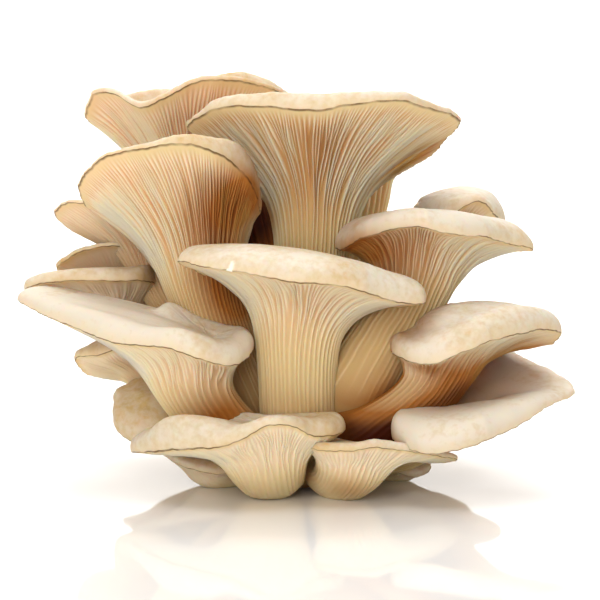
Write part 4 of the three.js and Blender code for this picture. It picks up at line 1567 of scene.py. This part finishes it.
@dataclass(frozen=True)
class MushroomFlesh(Flesh):
    """Grown oyster mushroom: a damp matt skin, paler on the gills' edges, with painted amber shade between
    them.

    Caps are cream and turn tan in clouds and specks as they age. A thin dark line runs along the edge,
    where the top's skin ends. The darker valleys between the gills, the darker foot of each stem, and the
    colours of crowded flesh and deep crevices are painted shade; the rest is the flesh in plain white
    light.

    Args:
        pores: width of the skin's fine grain, in millimetres.
        dimples: width of its coarse grain, in millimetres.
        dimple_share: height of the coarse grain as a share of the fine.
        clouds: width of the tan clouds on the caps, in millimetres.
        specks: width of the specks on them, in millimetres.
        line_breaks: length of the dark line's broken bits, in millimetres.
        line_middle: place of that line on the meridian.
    """

    name: str = "oyster_mushroom_flesh"
    roughness: float = 0.55
    ior: float = 1.4
    specular: float = 0.2
    glow: float = 0.6
    glow_radius: Point = (1.0, 0.45, 0.2)
    glow_depth: float = 3.0
    bump: float = 0.25
    bump_strength: float = 0.25
    pores: float = 0.9
    dimples: float = 5.0
    dimple_share: float = 1.6
    clouds: float = 22.0
    specks: float = 2.2
    line_breaks: float = 9.0
    line_middle: float = 1.006
    crest: str = "#EAD7B9"
    # Painted shade: the valley colours, under the cap and on the stem, are darker and warmer than the
    # crests.
    valley: str = "#CFA26C"
    stem_crest: str = "#DAC497"
    stem_valley: str = "#CDB17C"
    cap_young: str = "#DFD6C6"
    cap_old: str = "#C8AB76"
    margin: str = "#DFC898"
    edge_line: str = "#6E5636"
    # Painted shade: the stem turns darker and warmer towards its foot.
    foot: str = "#C2955A"
    # Painted shade laid on crowded flesh.
    painted_shade_colour: str = "#BE8850"
    broken: str = "#F6EFE2"
    # Darker painted shade for the deepest crevices.
    crevice: str = "#6E4026"

    def grain(self, palette: Palette) -> Socket:
        """Fine pores over shallow dimples.

        Args:
            palette: the tree's helpers.

        Returns:
            The height's socket.
        """
        dimples = palette.math("MULTIPLY", palette.noise(self.dimples), self.dimple_share)
        return palette.math("ADD", palette.noise(self.pores, 2.0), dimples)

    def under(self, palette: Palette, course: Socket) -> Socket:
        """The colour of stem and underside: crests, valleys and foot darkened as painted shade, and the
        bare margin.

        Args:
            palette: the tree's helpers.
            course: -1 foot, 0 neck, 1 edge, 3 middle of the cap.

        Returns:
            The colour's socket.
        """
        on_cap = palette.ramp(course, -0.1, 0.5)
        crest = palette.mix(on_cap, self.stem_crest, self.crest)
        valley = palette.mix(on_cap, self.stem_valley, self.valley)
        # Painted shade: the valleys between the gills take the darker valley colour.
        gill = palette.ramp(palette.attribute("gill"), 0.0, 0.75)
        skin = palette.mix(gill, valley, crest)
        # Painted shade: the lower stem turns to the darker foot colour.
        skin = palette.mix(palette.ramp(course, -0.5, -1.0), skin, self.foot)
        return palette.mix(palette.ramp(course, 0.9, 0.985), skin, self.margin)

    def cap(self, palette: Palette, course: Socket) -> Socket:
        """The colour of the cap's top: its age, with clouds and specks, and a warmer margin.

        Args:
            palette: the tree's helpers.
            course: -1 foot, 0 neck, 1 edge, 3 middle of the cap.

        Returns:
            The colour's socket.
        """
        cloud = palette.ramp(palette.noise(self.clouds, 4.0), 0.35, 0.75, (-0.25, 0.35))
        speck = palette.ramp(palette.noise(self.specks, 5.0), 0.3, 0.8, (-0.22, 0.28))
        age = palette.math("ADD", palette.attribute("age"), cloud)
        old = palette.math("ADD", age, speck, clamp=True)
        skin = palette.mix(old, self.cap_young, self.cap_old)
        return palette.mix(palette.ramp(course, 1.35, 1.02, (0.0, 0.42)), skin, self.margin)

    def edge_share(self, palette: Palette, course: Socket) -> Socket:
        """How much of the edge's dark line shows, broken up along its length.

        Args:
            palette: the tree's helpers.
            course: -1 foot, 0 neck, 1 edge, 3 middle of the cap.

        Returns:
            The share's socket.
        """
        off = palette.math("SUBTRACT", course, self.line_middle)
        near_edge = palette.math("ABSOLUTE", off, 0.0)
        breaks = palette.ramp(palette.noise(self.line_breaks, 4.0), 0.3, 0.6, (0.35, 0.95))
        return palette.math("MULTIPLY", palette.ramp(near_edge, 0.022, 0.008), breaks)

    def colour(self, palette: Palette) -> Socket:
        """The skin's colour by its place on the meridian and on the gill, with painted shade where it is
        crowded.

        Args:
            palette: the tree's helpers.

        Returns:
            The colour's socket.
        """
        course = palette.attribute("course")
        painted_shade = palette.attribute("painted_shade")
        top = palette.ramp(course, 0.995, 1.01)
        skin = palette.mix(top, self.under(palette, course), self.cap(palette, course))
        skin = palette.mix(self.edge_share(palette, course), skin, self.edge_line)
        # Painted shade from crowding and its patches, weaker over the top of the cap.
        shade = palette.math("MULTIPLY", painted_shade, palette.ramp(course, 1.35, 1.0, (0.6, 1.0)), clamp=True)
        # Paler flesh of splits, where the value is below zero.
        skin = palette.mix(palette.ramp(painted_shade, -0.1, -0.6), skin, self.broken)
        skin = palette.mix(shade, skin, self.painted_shade_colour, "MULTIPLY")
        # Darker painted shade in the deepest crevices, where the value passes 1.
        return palette.mix(palette.ramp(painted_shade, 1.0, 2.0), skin, self.crevice, "MULTIPLY")


@dataclass(frozen=True)
class CutFlesh(Flesh):
    """The butt's torn and cut flesh: dry, fibrous, browner between the fibres and pale at the cut."""

    name: str = "cut_mushroom_flesh"
    roughness: float = 0.75
    ior: float = 1.5
    specular: float = 0.25
    glow: float = 0.25
    glow_radius: Point = (1.0, 0.5, 0.25)
    glow_depth: float = 3.0
    bump: float = 0.5
    bump_strength: float = 0.5
    fibre_width: float = 1.6
    fibre: str = "#E3CDA4"
    crevice: str = "#B98C58"
    cut: str = "#E9DCC2"

    def grain(self, palette: Palette) -> Socket:
        """The fibres' height.

        Args:
            palette: the tree's helpers.

        Returns:
            The height's socket.
        """
        return palette.noise(self.fibre_width, 5.0)

    def colour(self, palette: Palette) -> Socket:
        """Fibres over the brown between them, and the pale cut below.

        Args:
            palette: the tree's helpers.

        Returns:
            The colour's socket.
        """
        fibres = palette.ramp(self.grain(palette), 0.35, 0.65)
        side = palette.mix(fibres, self.crevice, self.fibre)
        below = palette.ramp(palette.attribute("course"), -1.8, -1.9)
        return palette.mix(below, side, self.cut)


@dataclass(frozen=True)
class WhiteAcrylic:
    """The studio's white acrylic sheet, which mirrors what stands on it faintly."""

    name: str = "white_acrylic"
    colour: str = "#FBFBFB"
    roughness: float = 0.05
    ior: float = 1.49

    def build(self) -> bpy.types.Material:
        """Builds the material's nodes.

        Returns:
            The material.
        """
        material = bpy.data.materials.new(self.name)
        material.use_nodes = True
        shader = material.node_tree.nodes["Principled BSDF"]
        shader.inputs["Base Color"].default_value = linear(self.colour)
        shader.inputs["Roughness"].default_value = self.roughness
        shader.inputs["IOR"].default_value = self.ior
        return material


@dataclass(frozen=True)
class SoftBox:
    """One soft studio light.

    Args:
        name: its name.
        place: where it stands, in metres.
        size: its side, in metres.
        power: its power, in watts.
        aim: the point that it faces, in metres.
    """

    name: str
    place: Point
    size: float
    power: float
    aim: Point


@dataclass
class Studio:
    """The white sweep, the lights and the camera.

    Args:
        width: the sweep's width, in metres.
        depth: how far behind the cluster it turns upwards.
        turn: radius of that turn.
        height: how far it rises.
        target: what the camera looks at, in millimetres.
        distance: from the target, in metres.
        elevation: of the camera over the horizon, in degrees.
        lens: focal length, in millimetres.
        sensor: width of the sensor, in millimetres.
        world_light: strength of the white surround.
        world_colour: its colour.
        boxes: the soft boxes.
    """

    width: float = 6.0
    depth: float = 1.6
    turn: float = 0.8
    height: float = 3.0
    target: Point = (1.3, 0.0, 59.4)
    distance: float = 0.8
    elevation: float = 5.0
    lens: float = 148.1
    sensor: float = 36.0
    world_light: float = 0.4
    world_colour: str = "#FFF3E2"
    boxes: tuple[SoftBox, ...] = field(
        default_factory=lambda: (
            SoftBox("front_light", (-0.3, -1.3, 0.42), 0.9, 11.0, (0.0, 0.0, 0.06)),
            SoftBox("overhead_light", (0.0, -0.05, 1.4), 1.4, 14.0, (0.0, 0.0, 0.0)),
            SoftBox("backdrop_light", (0.0, 1.0, 1.8), 1.2, 40.0, (0.0, 2.4, 0.4)),
        )
    )

    def build_sweep(self) -> None:
        """The floor that turns up into the backdrop: level, a quarter circle, then upright."""
        angle = np.linspace(0.0, math.pi / 2.0, 24)
        back = self.depth + self.turn
        y = np.concatenate([[-3.0, -1.0], self.depth + self.turn * np.sin(angle), [back]])
        z = np.concatenate([[0.0, 0.0], self.turn * (1.0 - np.cos(angle)), [self.height]])
        sides = np.array([-0.5, 0.5]) * self.width
        grid = np.stack(np.broadcast_arrays(sides, y[:, None], z[:, None]), axis=-1)
        row = 2 * np.arange(len(y) - 1)
        quads = np.stack([row, row + 1, row + 3, row + 2], axis=1)
        mesh = bpy.data.meshes.new("studio_sweep")
        mesh.from_pydata(grid.reshape(-1, 3).tolist(), [], quads.tolist())
        mesh.polygons.foreach_set("use_smooth", np.ones(len(mesh.polygons), bool))
        mesh.materials.append(WhiteAcrylic().build())
        sweep = bpy.data.objects.new("studio_sweep", mesh)
        bpy.context.scene.collection.objects.link(sweep)

    def build_lights(self) -> None:
        """Soft boxes that face the cluster, and a white surround."""
        for box in self.boxes:
            light = bpy.data.lights.new(box.name, "AREA")
            light.size = box.size
            light.energy = box.power
            lamp = bpy.data.objects.new(box.name, light)
            bpy.context.scene.collection.objects.link(lamp)
            lamp.location = box.place
            facing = Vector(box.aim) - Vector(box.place)
            lamp.rotation_euler = facing.to_track_quat("-Z", "Y").to_euler()
        world = bpy.data.worlds.new("white_surround")
        bpy.context.scene.world = world
        world.use_nodes = True
        background = world.node_tree.nodes["Background"]
        background.inputs["Color"].default_value = linear(self.world_colour)
        background.inputs["Strength"].default_value = self.world_light

    def build_camera(self) -> None:
        """The camera, level with the cluster's middle and a little above it."""
        data = bpy.data.cameras.new("camera")
        data.lens = self.lens
        data.sensor_width = self.sensor
        camera = bpy.data.objects.new("camera", data)
        bpy.context.scene.collection.objects.link(camera)
        target = (Vector(self.target) + Vector(ORIGIN_SHIFT)) * MM
        tilt = math.radians(self.elevation)
        back = Vector((0.0, -math.cos(tilt), math.sin(tilt)))
        camera.location = target + back * self.distance
        camera.rotation_euler = (-back).to_track_quat("-Z", "Y").to_euler()
        bpy.context.scene.camera = camera

    def build(self) -> None:
        """Builds all of it and sets how light becomes colour."""
        self.build_sweep()
        self.build_lights()
        self.build_camera()
        view = bpy.context.scene.view_settings
        view.view_transform = "Standard"
        view.look = "None"
        view.exposure = 0.0


def report(piece: bpy.types.Object) -> None:
    """Logs one piece and its size.

    Args:
        piece: the object just built.
    """
    piece.data.calc_loop_triangles()
    size = ", ".join(f"{1000 * d:.0f}" for d in piece.dimensions)
    log.info("%s: %d triangles, %s mm", piece.name, len(piece.data.loop_triangles), size)


def main() -> None:
    """Builds the studio, the butt and every mushroom."""
    logging.basicConfig(level=logging.INFO, format="%(message)s")
    Studio().build()
    flesh = MushroomFlesh().build()
    butt_skin = CutBase().skin()
    mushrooms = [Mushroom(growth, SEED + number) for number, growth in enumerate(GROWTHS)]
    skins = [mushroom.skin() for mushroom in mushrooms]
    # Crowding of the whole cluster, laid on every skin as painted shade.
    painted_shade = CrowdShadeGrid([butt_skin, *skins])
    butt_skin.painted_shade = painted_shade.at(butt_skin)
    butt = butt_skin.piece("cut_butt")
    butt.data.materials.append(CutFlesh().build())
    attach(butt, BODY)
    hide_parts("cut_base")
    report(butt)
    for mushroom, skin in zip(mushrooms, skins, strict=True):
        skin.painted_shade = mushroom.shade(skin, painted_shade.at(skin))
        piece = mushroom.build(skin)
        piece.data.materials.append(flesh)
        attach(piece, BODY)
        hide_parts(f"mushroom_{mushroom.growth.name}")
        report(piece)
    bpy.context.view_layer.update()


if __name__ == "__main__":
    main()
